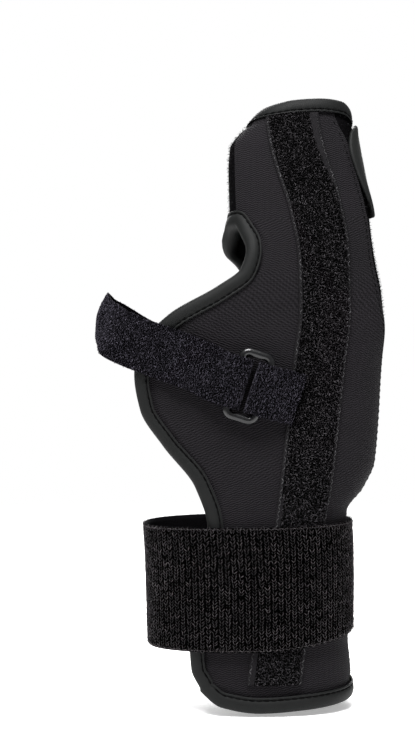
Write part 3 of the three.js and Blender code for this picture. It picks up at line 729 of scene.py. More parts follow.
@dataclass(frozen=True)
class Pile:
    """Loops or fibres that stand all over a cloth, turned, leaning and sized at random."""

    strand: Strand
    pitch: float
    lean: float  # usual lean, as a share of the outward direction
    sizes: Pair
    swing: float = 180.0  # degrees of the most turn to either side of straight across

    def standing(self, places: Places, draw: np.random.Generator) -> Skin:
        """Mesh of the pile.

        Args:
            places: Where the strands stand.
            draw: Source of the random draws.

        Returns:
            The mesh.
        """
        swing = draw.uniform(-self.swing, self.swing, len(places.points))[:, None]
        turn = (QUARTER_TURN + swing) * DEGREE
        along = np.cos(turn) * places.along + np.sin(turn) * places.across
        outward = unit(places.outward + draw.normal(0, self.lean, places.points.shape))
        turned = Places(places.points, levelled(along, outward), outward)
        return self.strand.scattered(turned, draw.uniform(*self.sizes, len(places.points)))


@dataclass(frozen=True)
class Stitching:
    """Rows of stitches along lines over the form."""

    pitch: float  # length of a stitch with its gap
    size: float  # scale of the thread
    swing: float = 0.0  # degrees that the stitches lean to either side in turn

    def row(self, form: HandForm, angle: Array, z: Array, lift: Array | float) -> Skin:
        """Mesh of one row.

        Args:
            form: The hand form.
            angle: Angles of the line.
            z: Heights of the line.
            lift: Height of the thread off the form.

        Returns:
            The mesh.
        """
        points = form.raised(angle, z, lift)
        travelled = run_lengths(points)
        wanted = np.arange(self.pitch / 2, travelled[-1] - self.pitch / 2, self.pitch)
        spots = read_line(points, travelled, wanted)
        ahead = read_line(points, travelled, wanted + LOOK_AHEAD)
        outward = form.outward(np.interp(wanted, travelled, angle), np.interp(wanted, travelled, z))
        along = levelled(unit(ahead - spots), outward)
        lean = self.swing * DEGREE * np.where(np.arange(len(spots)) % 2, 1, -1)[:, None]
        along = np.cos(lean) * along + np.sin(lean) * np.cross(outward, along)
        return STITCH.scattered(Places(spots, along, outward), self.size * self.pitch / STITCH_PITCH)


class Shade:
    """A socket whose arithmetic adds Math nodes to its graph."""

    def __init__(self, graph: "Graph", socket: bpy.types.NodeSocket) -> None:
        """Wraps an output socket of a graph's node tree."""
        self.graph = graph
        self.socket = socket

    def math(self, operation: str, *values: "Shade | float") -> "Shade":
        """A Math node on these values."""
        return self.graph.node("ShaderNodeMath", {"operation": operation}, dict(enumerate(values)))

    def __add__(self, other: "Shade | float") -> "Shade":
        """Sum."""
        return self.math("ADD", self, other)

    def __radd__(self, other: float) -> "Shade":
        """Sum."""
        return self.math("ADD", other, self)

    def __sub__(self, other: "Shade | float") -> "Shade":
        """Difference."""
        return self.math("SUBTRACT", self, other)

    def __rsub__(self, other: float) -> "Shade":
        """Difference."""
        return self.math("SUBTRACT", other, self)

    def __mul__(self, other: "Shade | float") -> "Shade":
        """Product."""
        return self.math("MULTIPLY", self, other)

    def __rmul__(self, other: float) -> "Shade":
        """Product."""
        return self.math("MULTIPLY", other, self)

    def wave(self, pitch: float) -> "Shade":
        """Sine of this length over a pitch, between 0 and 1."""
        return self.math("SINE", self * (2 * math.pi / pitch)) * 0.5 + 0.5


class Graph:
    """Node tree of a finish or of the world."""

    def __init__(self, owner: bpy.types.Material | bpy.types.World) -> None:
        """Clears the owner's nodes.

        Args:
            owner: Material or world that the nodes belong to.
        """
        owner.use_nodes = True
        self.owner = owner
        self.tree = owner.node_tree
        self.tree.nodes.clear()

    def add(self, kind: str, settings: dict[str, Any], inputs: dict[Any, Any]) -> bpy.types.Node:
        """Any node.

        Args:
            kind: Type of the node.
            settings: Its own settings, which are set first.
            inputs: Values or links of its sockets, by name or number.

        Returns:
            The node.
        """
        made = self.tree.nodes.new(kind)
        for key, value in settings.items():
            setattr(made, key, value)
        for key, value in inputs.items():
            if isinstance(value, Shade):
                self.tree.links.new(value.socket, made.inputs[key])
            else:
                made.inputs[key].default_value = value
        return made

    def node(
        self, kind: str, settings: dict[str, Any], inputs: dict[Any, Any], output: int | str = 0
    ) -> Shade:
        """One output of a new node."""
        return Shade(self, self.add(kind, settings, inputs).outputs[output])

    def cloth(self) -> tuple[Shade, Shade, Shade]:
        """Cloth coordinates in millimetres.

        Returns:
            The vector, its first and its second value.
        """
        vector = self.node("ShaderNodeUVMap", {"uv_map": CLOTH_MAP}, {})
        first = self.node("ShaderNodeSeparateXYZ", {}, {0: vector}, "X")
        second = self.node("ShaderNodeSeparateXYZ", {}, {0: vector}, "Y")
        return vector, first, second

    def place(self) -> Shade:
        """Place in the splint's frame, in metres."""
        return self.node("ShaderNodeTexCoord", {}, {}, "Object")

    def noise(self, vector: Shade, scale: float, detail: float = 2.0) -> Shade:
        """Noise between 0 and 1."""
        sockets = {"Vector": vector, "Scale": scale, "Detail": detail, "Roughness": 0.55}
        return self.node("ShaderNodeTexNoise", {}, sockets)

    def mix(self, share: Shade, first: Colour, second: Colour) -> Shade:
        """Colour between two others."""
        sockets = {0: share, 6: (*first, 1.0), 7: (*second, 1.0)}
        return self.node("ShaderNodeMix", {"data_type": "RGBA"}, sockets, 2)

    def spread(self, value: Shade, low: float, high: float) -> Shade:
        """A value stretched so that low to high becomes 0 to 1."""
        sockets = {"Value": value, "From Min": low, "From Max": high}
        return self.node("ShaderNodeMapRange", {"clamp": True}, sockets)

    def bump(self, height: Shade, distance: float) -> Shade:
        """Normal of a relief of this many millimetres."""
        sockets = {"Height": height, "Distance": distance * MM, "Strength": 1.0}
        return self.node("ShaderNodeBump", {}, sockets)

    def dress(self, varying: dict[str, Shade], fixed: dict[str, Any]) -> bpy.types.Material:
        """Puts a Principled shader on the output.

        Args:
            varying: Links to the shader's sockets.
            fixed: Values of its other sockets.

        Returns:
            The finished material.
        """
        shader = self.node("ShaderNodeBsdfPrincipled", {}, {**fixed, **varying})
        self.add("ShaderNodeOutputMaterial", {}, {0: shader})
        return self.owner


@dataclass(frozen=True)
class RibKnit:
    """Fine ribbed knit cloth over foam."""

    name: str = "rib_knit"
    dark: Colour = (0.0018, 0.0017, 0.0020)
    light: Colour = (0.0166, 0.0149, 0.0173)
    rib: float = 0.78
    stitch: float = 0.62
    column: float = 2.3
    jag: float = 0.42
    relief: float = 0.28
    drift: float = 0.08  # scales of the noises
    wander: float = 0.3
    grain: float = 2.6
    cloud: float = 0.05
    shine: float = 0.06
    sheen: float = 0.012

    def material(self) -> bpy.types.Material:
        """Makes the finish.

        Returns:
            The finished material.
        """
        graph = Graph(bpy.data.materials.new(self.name))
        vector, u, v = graph.cloth()
        drift = graph.noise(vector, self.drift)
        wander = graph.noise(vector, self.wander)
        column = (u + wander * 0.8).wave(self.column)
        ribs = (v + drift * 1.2 + column * self.jag).wave(self.rib)
        stitches = (u + wander * 0.5).wave(self.stitch)
        grain = graph.noise(vector, self.grain, 3.0)
        cloud = graph.noise(vector, self.cloud, 3.0)
        tone = ribs * 0.75 + stitches * 0.15 + grain * 0.8 + cloud * 0.25 - 0.48
        height = ribs * 0.6 + stitches * ribs * 0.25 + grain * 0.5
        varying = {
            "Base Color": graph.mix(tone, self.dark, self.light),
            "Roughness": grain * 0.2 + 0.74,
            "Normal": graph.bump(height, self.relief),
        }
        fixed = {"Specular IOR Level": self.shine, "Sheen Weight": self.sheen, "Sheen Roughness": 0.5}
        return graph.dress(varying, fixed)


@dataclass(frozen=True)
class BrushedCloth:
    """Brushed cloth whose short nap hides its weave."""

    name: str
    dark: Colour
    light: Colour
    grain: float = 1.5
    relief: float = 0.25
    cloud: float = 0.07
    shine: float = 0.006

    def material(self) -> bpy.types.Material:
        """Makes the finish.

        Returns:
            The finished material.
        """
        graph = Graph(bpy.data.materials.new(self.name))
        vector, _, _ = graph.cloth()
        grain = graph.noise(vector, self.grain, 4.0)
        cloud = graph.noise(vector, self.cloud, 3.0)
        speckle = graph.spread(grain, 0.32, 0.7)
        varying = {
            "Base Color": graph.mix(speckle * 0.75 + cloud * 0.25, self.dark, self.light),
            "Roughness": 0.98 - speckle * 0.14,
            "Normal": graph.bump(grain + cloud * 0.5, self.relief),
        }
        return graph.dress(varying, {"Specular IOR Level": self.shine})


@dataclass(frozen=True)
class BindingTape:
    """Smooth woven tape with a slight sheen."""

    name: str = "binding_tape"
    dark: Colour = (0.0024, 0.0026, 0.0026)
    light: Colour = (0.0088, 0.0095, 0.0093)
    weave: float = 0.55
    relief: float = 0.05
    grain: float = 1.8
    cloud: float = 0.12
    shine: float = 0.14
    sheen: float = 0.012

    def material(self) -> bpy.types.Material:
        """Makes the finish.

        Returns:
            The finished material.
        """
        graph = Graph(bpy.data.materials.new(self.name))
        vector, u, v = graph.cloth()
        twill = (u + v).wave(self.weave) * (u - v * 0.4).wave(self.weave * 1.3)
        grain = graph.noise(vector, self.grain, 3.0)
        cloud = graph.noise(vector, self.cloud, 2.0)
        varying = {
            "Base Color": graph.mix(twill * 0.25 + grain * 0.4 + cloud * 0.35, self.dark, self.light),
            "Roughness": 0.5 + grain * 0.25,
            "Normal": graph.bump(twill * 0.6 + grain * 0.6, self.relief),
        }
        fixed = {"Specular IOR Level": self.shine, "Sheen Weight": self.sheen, "Sheen Roughness": 0.4}
        return graph.dress(varying, fixed)


@dataclass(frozen=True)
class Yarn:
    """Yarn or thread of loops, nap, knit and stitches."""

    name: str
    dark: Colour
    light: Colour
    patch: float = 900.0
    shine: float = 0.012
    roughness: float = 0.75
    even: float = 0.0  # tone that every strand has, whatever its own
    edge: float = 0.12  # softness of the patches
    fuzz: float = 6000.0
    relief: float = 0.04

    def material(self) -> bpy.types.Material:
        """Makes the finish.

        Returns:
            The finished material.
        """
        graph = Graph(bpy.data.materials.new(self.name))
        place = graph.place()
        own = graph.node("ShaderNodeNewGeometry", {}, {}, "Random Per Island")
        patchy = graph.spread(graph.noise(place, self.patch, 2.0), 0.5 - self.edge, 0.5 + self.edge)
        fuzz = graph.noise(place, self.fuzz, 2.0)
        tone = (own * own * (1 - self.even) + self.even) * (patchy * 0.8 + 0.2) + fuzz * 0.02
        varying = {
            "Base Color": graph.mix(tone, self.dark, self.light),
            "Roughness": self.roughness + fuzz * 0.2,
            "Normal": graph.bump(fuzz, self.relief),
        }
        return graph.dress(varying, {"Specular IOR Level": self.shine})


@dataclass(frozen=True)
class DarkGloss:
    """Dark moulded plastic with a polish and faint wear."""

    name: str = "dark_gloss"
    dark: Colour = (0.0020, 0.0020, 0.0024)
    light: Colour = (0.0060, 0.0062, 0.0070)
    wear: float = 700.0
    haze: float = 180.0
    relief: float = 0.012
    shine: float = 0.42

    def material(self) -> bpy.types.Material:
        """Makes the finish.

        Returns:
            The finished material.
        """
        graph = Graph(bpy.data.materials.new(self.name))
        place = graph.place()
        wear = graph.noise(place, self.wear, 4.0)
        haze = graph.noise(place, self.haze, 2.0)
        varying = {
            "Base Color": graph.mix(haze, self.dark, self.light),
            "Roughness": 0.2 + wear * 0.08,
            "Normal": graph.bump(wear, self.relief),
        }
        return graph.dress(varying, {"Specular IOR Level": self.shine})


@dataclass(frozen=True)
class PaleFloor:
    """Pale matt floor that fades into the backdrop."""

    name: str = "pale_floor"
    dark: Colour = (0.90, 0.90, 0.90)
    light: Colour = (0.94, 0.94, 0.94)
    grain: float = 30.0
    shine: float = 0.1
    glow: float = 0.35
    solid: float = 0.3  # distances at which its fading starts and ends
    gone: float = 0.9

    def material(self) -> bpy.types.Material:
        """Makes the finish.

        Returns:
            The finished material.
        """
        graph = Graph(bpy.data.materials.new(self.name))
        place = graph.place()
        grain = graph.noise(place, self.grain, 3.0)
        distance = graph.node("ShaderNodeVectorMath", {"operation": "LENGTH"}, {0: place}, "Value")
        varying = {
            "Base Color": graph.mix(grain, self.dark, self.light),
            "Roughness": 0.8 + grain * 0.1,
            "Alpha": 1 - graph.spread(distance, self.solid, self.gone),
        }
        glow = {"Emission Color": (1, 1, 1, 1), "Emission Strength": self.glow}
        return graph.dress(varying, {"Specular IOR Level": self.shine, **glow})


class Cloth:
    """The finishes of the splint, each made once."""

    def __init__(self) -> None:
        """Makes every material."""
        self.panel = RibKnit().material()
        self.lining = BrushedCloth(
            "soft_lining", (0.0032, 0.0032, 0.0035), (0.0102, 0.0099, 0.0112), grain=2.2, relief=0.12
        ).material()
        self.loop_cloth = BrushedCloth(
            "brushed_loop_cloth", (0.00032, 0.00032, 0.00032), (0.0045, 0.0042, 0.0048)
        ).material()
        self.nap = Yarn("loop_cloth_nap", (0.0006, 0.0006, 0.0006), (0.0420, 0.0405, 0.0440)).material()
        self.tape = BindingTape().material()
        self.tab = BindingTape(
            "tab_cloth", (0.0040, 0.0043, 0.0042), (0.0110, 0.0117, 0.0115), weave=0.8, relief=0.06
        ).material()
        self.thread = Yarn(
            "sewing_thread", (0.0008, 0.0008, 0.0008), (0.0050, 0.0050, 0.0052), 500.0, shine=0.03, even=0.5
        ).material()
        # Ground of the pile strip; its near-black colour is painted shade in the gaps between the loops, far
        # darker than the cloth itself
        self.pile_ground_painted_shade = BrushedCloth(
            "pile_ground_painted_shade", (0.00006, 0.00006, 0.00006), (0.00096, 0.00096, 0.00096), grain=2.4
        ).material()
        self.pile_margin = BrushedCloth(
            "pile_margin", (0.0040, 0.0038, 0.0042), (0.0190, 0.0180, 0.0195), grain=2.4, relief=0.1
        ).material()
        self.margin_thread = Yarn(
            "margin_thread", (0.0096, 0.0096, 0.0099), (0.1088, 0.1059, 0.1110), 700.0, even=0.3
        ).material()
        self.pile = Yarn(
            "pile_loops", (0.0003, 0.0003, 0.0003), (0.0830, 0.0775, 0.0840), 1000.0, even=0.1
        ).material()
        self.strap_ground = BrushedCloth(
            "strap_ground", (0.00032, 0.00032, 0.00032), (0.0032, 0.0029, 0.0038), grain=2.0
        ).material()
        self.strap_nap = Yarn(
            "strap_nap", (0.0026, 0.0026, 0.0032), (0.0950, 0.0880, 0.1120), 1000.0, even=0.24
        ).material()
        # Ground of the wrist strap's knit; its near-black colour is painted shade in the gaps between the
        # stitches, far darker than the yarn itself
        self.knit_ground_painted_shade = BrushedCloth(
            "knit_ground_painted_shade", (0.00003, 0.00003, 0.00003), (0.00032, 0.00032, 0.00032), grain=2.0
        ).material()
        self.knit = Yarn(
            "knit_yarn", (0.0006, 0.0006, 0.0006), (0.1380, 0.1255, 0.1323), 1000.0, even=0.36, edge=0.2
        ).material()
        self.ring = DarkGloss().material()


@dataclass
class Gauntlet:
    """The two padded panels, with their seam stitches and the nap of the palm panel."""

    outline: Outline
    cloth: Cloth
    rows: int = 200
    columns: int = 84
    crown: float = 0.14  # how far the padding stands up between its edges
    crown_span: Pair = (5.0, 18.0)
    wave: float = 0.1
    lining_wave: float = 0.15
    groove: float = 0.7  # depth of the groove beside the tape
    groove_in: float = 0.5
    groove_width: float = 0.9
    seam_rise: float = 0.9  # how far the back panel's edge stands up along the seam
    seam_rise_width: float = 8.0
    rise_starts: Pair = (25.0, 35.0)  # heights between which the rise comes and goes
    rise_ends: Pair = (157.0, 165.0)
    seam_drop: float = 0.5
    seam_round: float = 0.8
    dent: float = 0.22  # depth that the topstitching pulls in
    dent_width: float = 0.7
    stitch_in: float = 2.0
    stitching: Stitching = Stitching(2.5, 0.75)
    stitch_span: Pair = (0.01, 0.975)
    stitch_grid: tuple[int, int] = (2400, 160)
    fibres: Pile = Pile(FIBRE, 1.6, 0.25, (0.5, 1.1))
    nap_width: float = 105.0
    nap_lift: float = 0.05

    def lifts(self, side: Side, angle: Array, z: Array) -> Array:
        """Height of a panel's outer face off the form.

        Args:
            side: Which panel.
            angle: Angles of its grid.
            z: Heights of its grid.

        Returns:
            Heights of the grid's points.
        """
        points = self.outline.form.point(angle, z)
        across = run_lengths(points)
        from_seam = across[:, -1:] - across
        from_edge = np.where(z < self.outline.crotch_z, across, FAR)
        from_bound = np.minimum(np.minimum(from_edge, z - z[:1]), z[-1:] - z)
        crown = smooth(from_bound, *self.crown_span)
        groove = hump(from_bound, TAPE_WIDTH + self.groove_in, self.groove_width)
        lift = self.crown * crown - self.groove * groove + self.wave * PADDING_WAVES(points) * crown
        if side is Side.BACK:
            span = smooth(z, *self.rise_starts) * (1 - smooth(z, *self.rise_ends))
            lift = lift + self.seam_rise * span * (1 - smooth(from_seam, 0, self.seam_rise_width))
            lift = lift - self.dent * hump(from_seam, self.stitch_in, self.dent_width) * span
        return lift - self.seam_drop * (1 - smooth(from_seam, 0, self.seam_round))

    def panel(self, side: Side) -> tuple[Skin, Array]:
        """Mesh of one panel.

        Args:
            side: Which panel.

        Returns:
            The mesh and the heights of its grid.
        """
        s, t = np.meshgrid(np.linspace(0, 1, self.columns), np.linspace(0, 1, self.rows))
        angle, z = self.outline.chart(side, s, t)
        form = self.outline.form
        outer = form.raised(angle, z, self.lifts(side, angle, z))
        inside = form.raised(angle, z, -WALL)
        inner = form.raised(angle, z, -WALL + self.lining_wave * LINING_WAVES(inside))
        cloth = np.stack([run_lengths(outer), z], -1)
        return shell(outer, inner, cloth, inner_finish=1), z

    def seam_stitches(self) -> Skin:
        """Topstitching of the back panel along the little-finger seam.

        Returns:
            The mesh of the stitches.
        """
        form = self.outline.form
        rows, columns = self.stitch_grid
        s, t = np.meshgrid(np.linspace(0, 1, columns), np.linspace(*self.stitch_span, rows))
        angle, z = self.outline.chart(Side.BACK, s, t)
        lift = self.lifts(Side.BACK, angle, z)
        across = run_lengths(form.point(angle, z))
        column = np.argmin(np.abs(across[:, -1:] - across - self.stitch_in), axis=1)
        row = np.arange(rows)
        a, h, up = angle[row, column], z[row, column], lift[row, column]
        return self.stitching.row(form, a, h, up + THREAD_LIFT)

    def nap(self, z: Array) -> Skin:
        """Short nap over the palm panel's outer face.

        Args:
            z: Heights of the panel's grid.

        Returns:
            Mesh of the nap.
        """
        draw = np.random.default_rng(11)
        rows = round((z[-1].mean() - z[0].mean()) / self.fibres.pitch)
        t, s = jittered(draw, rows, round(self.nap_width / self.fibres.pitch))
        a, h = self.outline.chart(Side.PALM, s.ravel(), t.ravel())
        return self.fibres.standing(Places.on_form(self.outline.form, a, h, self.nap_lift), draw)

    def build(self) -> None:
        """Makes the panels and what is sewn on them."""
        back = self.panel(Side.BACK)[0].piece("back_panel", "laminate", [self.cloth.panel, self.cloth.lining])
        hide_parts("dorsal_panel")
        skin, z = self.panel(Side.PALM)
        palm = skin.piece("palm_panel", "loop_cloth", [self.cloth.loop_cloth, self.cloth.lining])
        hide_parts("volar_panel")
        self.seam_stitches().piece("seam_stitches", "laminate", [self.cloth.thread])
        self.nap(z).piece("palm_panel_nap", "loop_cloth", [self.cloth.nap])


@dataclass
class Bindings:
    """Folded tapes round the hand opening and the top rim, with their stitching."""

    outline: Outline
    cloth: Cloth
    step: float = 0.7
    reach: int = 3  # steps to either side that give the edge's direction
    stitching: Stitching = Stitching(2.5, 1.5)
    stitch_in: float = 3.35
    stitch_width: float = 0.8
    thread_lift: float = 0.48
    pucker: float = 0.08
    pucker_lift: float = 0.5  # rows of the section above this height pucker
    sag: float = 0.08
    face_lift: float = 0.45  # rows above this height belong to the outer face
    face_base: float = 0.4  # height of an outer face that is pressed quite flat
    cut_rows: int = 21  # rows of the section that cross the tape once

    # Section of the tape: distance in from the edge, height off the form. Outer face first, then the inner.
    section: tuple[Pair, ...] = (
        (4.35, 0.5), (4.3, 0.74), (4.08, 0.92), (3.8, 0.9), (3.55, 0.64), (3.3, 0.54),
        (3.0, 0.74), (2.5, 1.06), (1.5, 1.25), (0.5, 1.15), (-0.3, 0.92), (-0.95, 0.4),
        (-1.35, -0.4), (-1.48, -1.3), (-1.48, -2.2), (-1.35, -3.2), (-0.95, -4.2),
        (-0.2, -4.85), (0.7, -5.1), (1.6, -5.1), (2.1, -4.95), (2.2, -4.7), (2.0, -4.45),
        (0.6, -4.4), (-0.6, -4.0), (-0.75, -2.4), (-0.75, -0.6), (-0.5, 0.25), (0.4, 0.42),
        (3.0, 0.42), (4.2, 0.4),
    )

    def tape(self, line: tuple[Array, Array], flat: float) -> tuple[Skin, Skin, float]:
        """Mesh of a tape round a closed line, and its stitches.

        Args:
            line: Angles and heights of the edge, with the panel on its right.
            flat: Share of the section's height that the tape keeps on the outer face.

        Returns:
            The tape, its stitches and the length of the edge.
        """
        form = self.outline.form
        angle, z, length = self.outline.evenly(*line, self.step)
        points = form.point(angle, z)
        along = unit(np.roll(points, -self.reach, 0) - np.roll(points, self.reach, 0))
        inward = unit(np.cross(along, form.outward(angle, z)))
        travelled = np.arange(len(angle) + 1) * length / len(angle)
        count = round(length / self.stitching.pitch)
        phase = np.cos(2 * math.pi * count * travelled[:-1] / length)
        sag = TAPE_WAVES(points) * self.sag
        sections = []
        for distance, lift in self.section:
            near = hump(distance, self.stitch_in, self.stitch_width) if lift > self.pucker_lift else 0.0
            a, h = form.walked(angle, z, inward, np.full(len(angle), distance))
            height = lift
            if lift > self.face_lift:
                height = mixed(self.face_base, lift, flat) + near * self.pucker * phase + sag
            sections.append(form.raised(a, h, height))
        around = run_lengths(np.array([*self.section, self.section[0]]))
        skin = ring_skin(np.stack(sections, 1), travelled, around)
        a, h = form.walked(angle, z, inward, np.full(len(angle), self.stitch_in))
        thread = replace(self.stitching, pitch=length / count).row(form, a, h, self.thread_lift + sag)
        return skin, thread, length

    def build(self) -> None:
        """Makes both tapes and their stitches."""
        made = (
            ("palm_edge_tape", "palm_binding", self.outline.opening(), 1.0, "back_panel"),
            ("rim_tape", "rim_binding", self.outline.rim_line(), 0.7, "palm_panel"),
        )
        for name, node, line, flat_share, carrier in made:
            skin, thread, length = self.tape(line, flat_share)
            tape = skin.piece(name, "tape", [self.cloth.tape])
            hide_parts(node)
            stitches = thread.piece(name + "_stitches", "tape", [self.cloth.thread])


@dataclass
class PileStrip:
    """Long strip of loop pile sewn along the back, with flat margins."""

    outline: Outline
    cloth: Cloth
    width: float = 19.0
    rows: int = 190
    columns: int = 31
    margin: float = 1.35
    margin_more: Pair = (1.3, 1.8)  # what the left and the right margin gain
    low_span: Pair = (0.0, 40.0)  # heights between which the left margin narrows
    high_span: Pair = (138.0, 160.0)  # heights between which the right margin widens
    margin_step: Pair = (-0.25, 0.35)  # where the ground rises, from the margin's edge
    margin_end: float = 0.1
    margin_thick: float = 0.55
    ground_thick: float = 0.85
    under: float = 0.5
    sunk: float = 0.1
    top_gap: float = 0.3
    edge_drop: float = 0.25
    edge_round: float = 0.5
    wave: float = 0.05
    pile: Pile = Pile(LOOP, 0.5, 0.4, (0.55, 1.2))
    pile_inside: Pair = (0.1, 0.9)
    stitching: Stitching = Stitching(1.25, 1.35, 34.0)
    stitch_in: float = 0.75
    line_points: int = 1200
    # Middle of the strip: z, x.
    middle: tuple[Pair, ...] = (
        (-32, 8.4), (-20, 10.0), (24, 18.1), (52, 21.6), (80, 24.8), (98, 26.8), (113, 26.5),
        (135, 23.0), (150, 18.8), (158, 16.9), (167, 15.7),
    )

    def place(self, s: Array, z: Array) -> tuple[Array, Array]:
        """Places on the strip.

        Args:
            s: Shares across it.
            z: Heights.

        Returns:
            Angles and heights.
        """
        form = self.outline.form
        line = Curve(self.middle)
        lean = (line(z + 1) - line(z - 1)) / 2
        middle = form.angle_at(line(z), z)
        return middle + form.degrees_for((s - 0.5) * self.width * np.hypot(1, lean), middle, z), z

    def chart(self, s: Array, t: Array) -> tuple[Array, Array]:
        """Places on the strip, whose top follows the rim.

        Args:
            s: Shares across it.
            t: Shares up it.

        Returns:
            Angles and heights.
        """
        low, high = self.middle[0][0], self.middle[-1][0]
        top = self.outline.rim(self.place(s, np.full_like(s, high))[0]) - TAPE_WIDTH - self.top_gap
        return self.place(s, mixed(low, top, t))

    def margins(self, z: Array) -> tuple[Array, Array]:
        """Widths of the left margin, which is wider low down, and of the right one, wider at the top."""
        left = self.margin + self.margin_more[0] * (1 - smooth(z, *self.low_span))
        return left, self.margin + self.margin_more[1] * smooth(z, *self.high_span)

    def build(self) -> None:
        """Makes the strip, its loops and its stitches."""
        form = self.outline.form
        across = np.linspace(-self.width / 2, self.width / 2, self.columns)
        s, t = np.meshgrid(across / self.width + 0.5, np.linspace(0, 1, self.rows))
        angle, z = self.chart(s, t)
        left, right = self.margins(z)
        from_margin = np.minimum(s * self.width - left, (1 - s) * self.width - right)
        edge = self.edge_drop * (1 - smooth(self.width / 2 - np.abs(across), 0, self.edge_round))
        thick = mixed(self.margin_thick, self.ground_thick, smooth(from_margin, *self.margin_step)) - edge
        outer = form.raised(angle, z, self.under + thick + self.wave * PILE_WAVES(form.point(angle, z)))
        inner = form.raised(angle, z, self.under - self.sunk)
        skin = shell(outer, inner, np.stack([s * self.width, z], -1))
        in_margin = (from_margin[:-1, :-1] + from_margin[:-1, 1:]) / 2 < self.margin_end
        skin.finish[: in_margin.size] = in_margin.ravel()
        strip = skin.piece("pile_band", "pile", [self.cloth.pile_ground_painted_shade, self.cloth.pile_margin])
        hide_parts("pile_strip")
        length = float(run_lengths(outer[:, self.columns // 2])[-1])
        loops = self.loops(length).piece("pile_band_loops", "pile", [self.cloth.pile])
        lift = self.under + self.margin_thick + THREAD_LIFT
        for side, name in ((-1, "left"), (1, "right")):
            share = np.full(self.line_points, 0.5 + side * (0.5 - self.stitch_in / self.width))
            a, h = self.chart(share, np.linspace(0, 1, self.line_points))
            thread = self.stitching.row(form, a, h, lift)
            thread.piece(f"pile_band_stitches_{name}", "pile", [self.cloth.margin_thread])
        flat = (self.width * MM, length * MM)

    def loops(self, length: float) -> Skin:
        """The loop pile between the margins.

        Args:
            length: Length of the strip.

        Returns:
            Mesh of the loops.
        """
        draw = np.random.default_rng(17)
        rows = round(length / self.pile.pitch)
        columns = round((self.width - 2 * self.margin) / self.pile.pitch)
        t, share = jittered(draw, rows, columns, self.pile_inside)
        left, right = self.margins(mixed(self.middle[0][0], self.middle[-1][0], t))
        s = mixed(left, self.width - right, share) / self.width
        a, h = self.chart(s.ravel(), t.ravel())
        places = Places.on_form(self.outline.form, a, h, self.under + self.ground_thick)
        return self.pile.standing(places, draw)


@dataclass
class FingerTab:
    """Smooth tab with a rounded end on the little-finger border."""

    outline: Outline
    cloth: Cloth
    rows: int = 64
    columns: int = 80
    thick: float = 1.4
    edge_round: float = 2.2
    wave: float = 0.06
    end_angle: float = 242.0
    drop: float = 4.0  # how far the top edge falls towards the palm side
    over: float = 1.1  # how far the rounded end stands over the seam
    over_share: float = 0.25
    # Rounded end: z, angle.
    end: tuple[Pair, ...] = (
        (131, 172), (138, 153), (146, 144), (154.5, 139.5), (161, 143.5), (164.5, 157),
    )

    def build(self) -> None:
        """Makes the tab."""
        form = self.outline.form
        s, t = np.meshgrid(np.linspace(0, 1, self.columns), np.linspace(0, 1, self.rows))
        z = mixed(self.end[0][0], self.end[-1][0], t)
        angle = mixed(Curve(self.end)(z), self.end_angle, s)
        height = z - self.drop * s * t
        points = form.point(angle, height)
        from_end = run_lengths(points)
        from_edge = np.minimum(np.minimum(height - height[:1], height[-1:] - height), from_end)
        thick = self.thick * (0.5 + 0.5 * np.sqrt(np.clip(from_edge / self.edge_round, 0, 1)))
        under = GAP + self.over * (1 - smooth(s, 0, self.over_share))
        outer = form.raised(angle, height, under + thick + self.wave * TAB_WAVES(points))
        inner = form.raised(angle, height, under)
        skin = shell(outer, inner, np.stack([from_end, height], -1))
        tab = skin.piece("finger_tab_cloth", "tape", [self.cloth.tab])
        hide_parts("finger_tab")
        tall = height[-1] - height[0]
        area = float(from_end[:, -1].mean() * tall.mean())


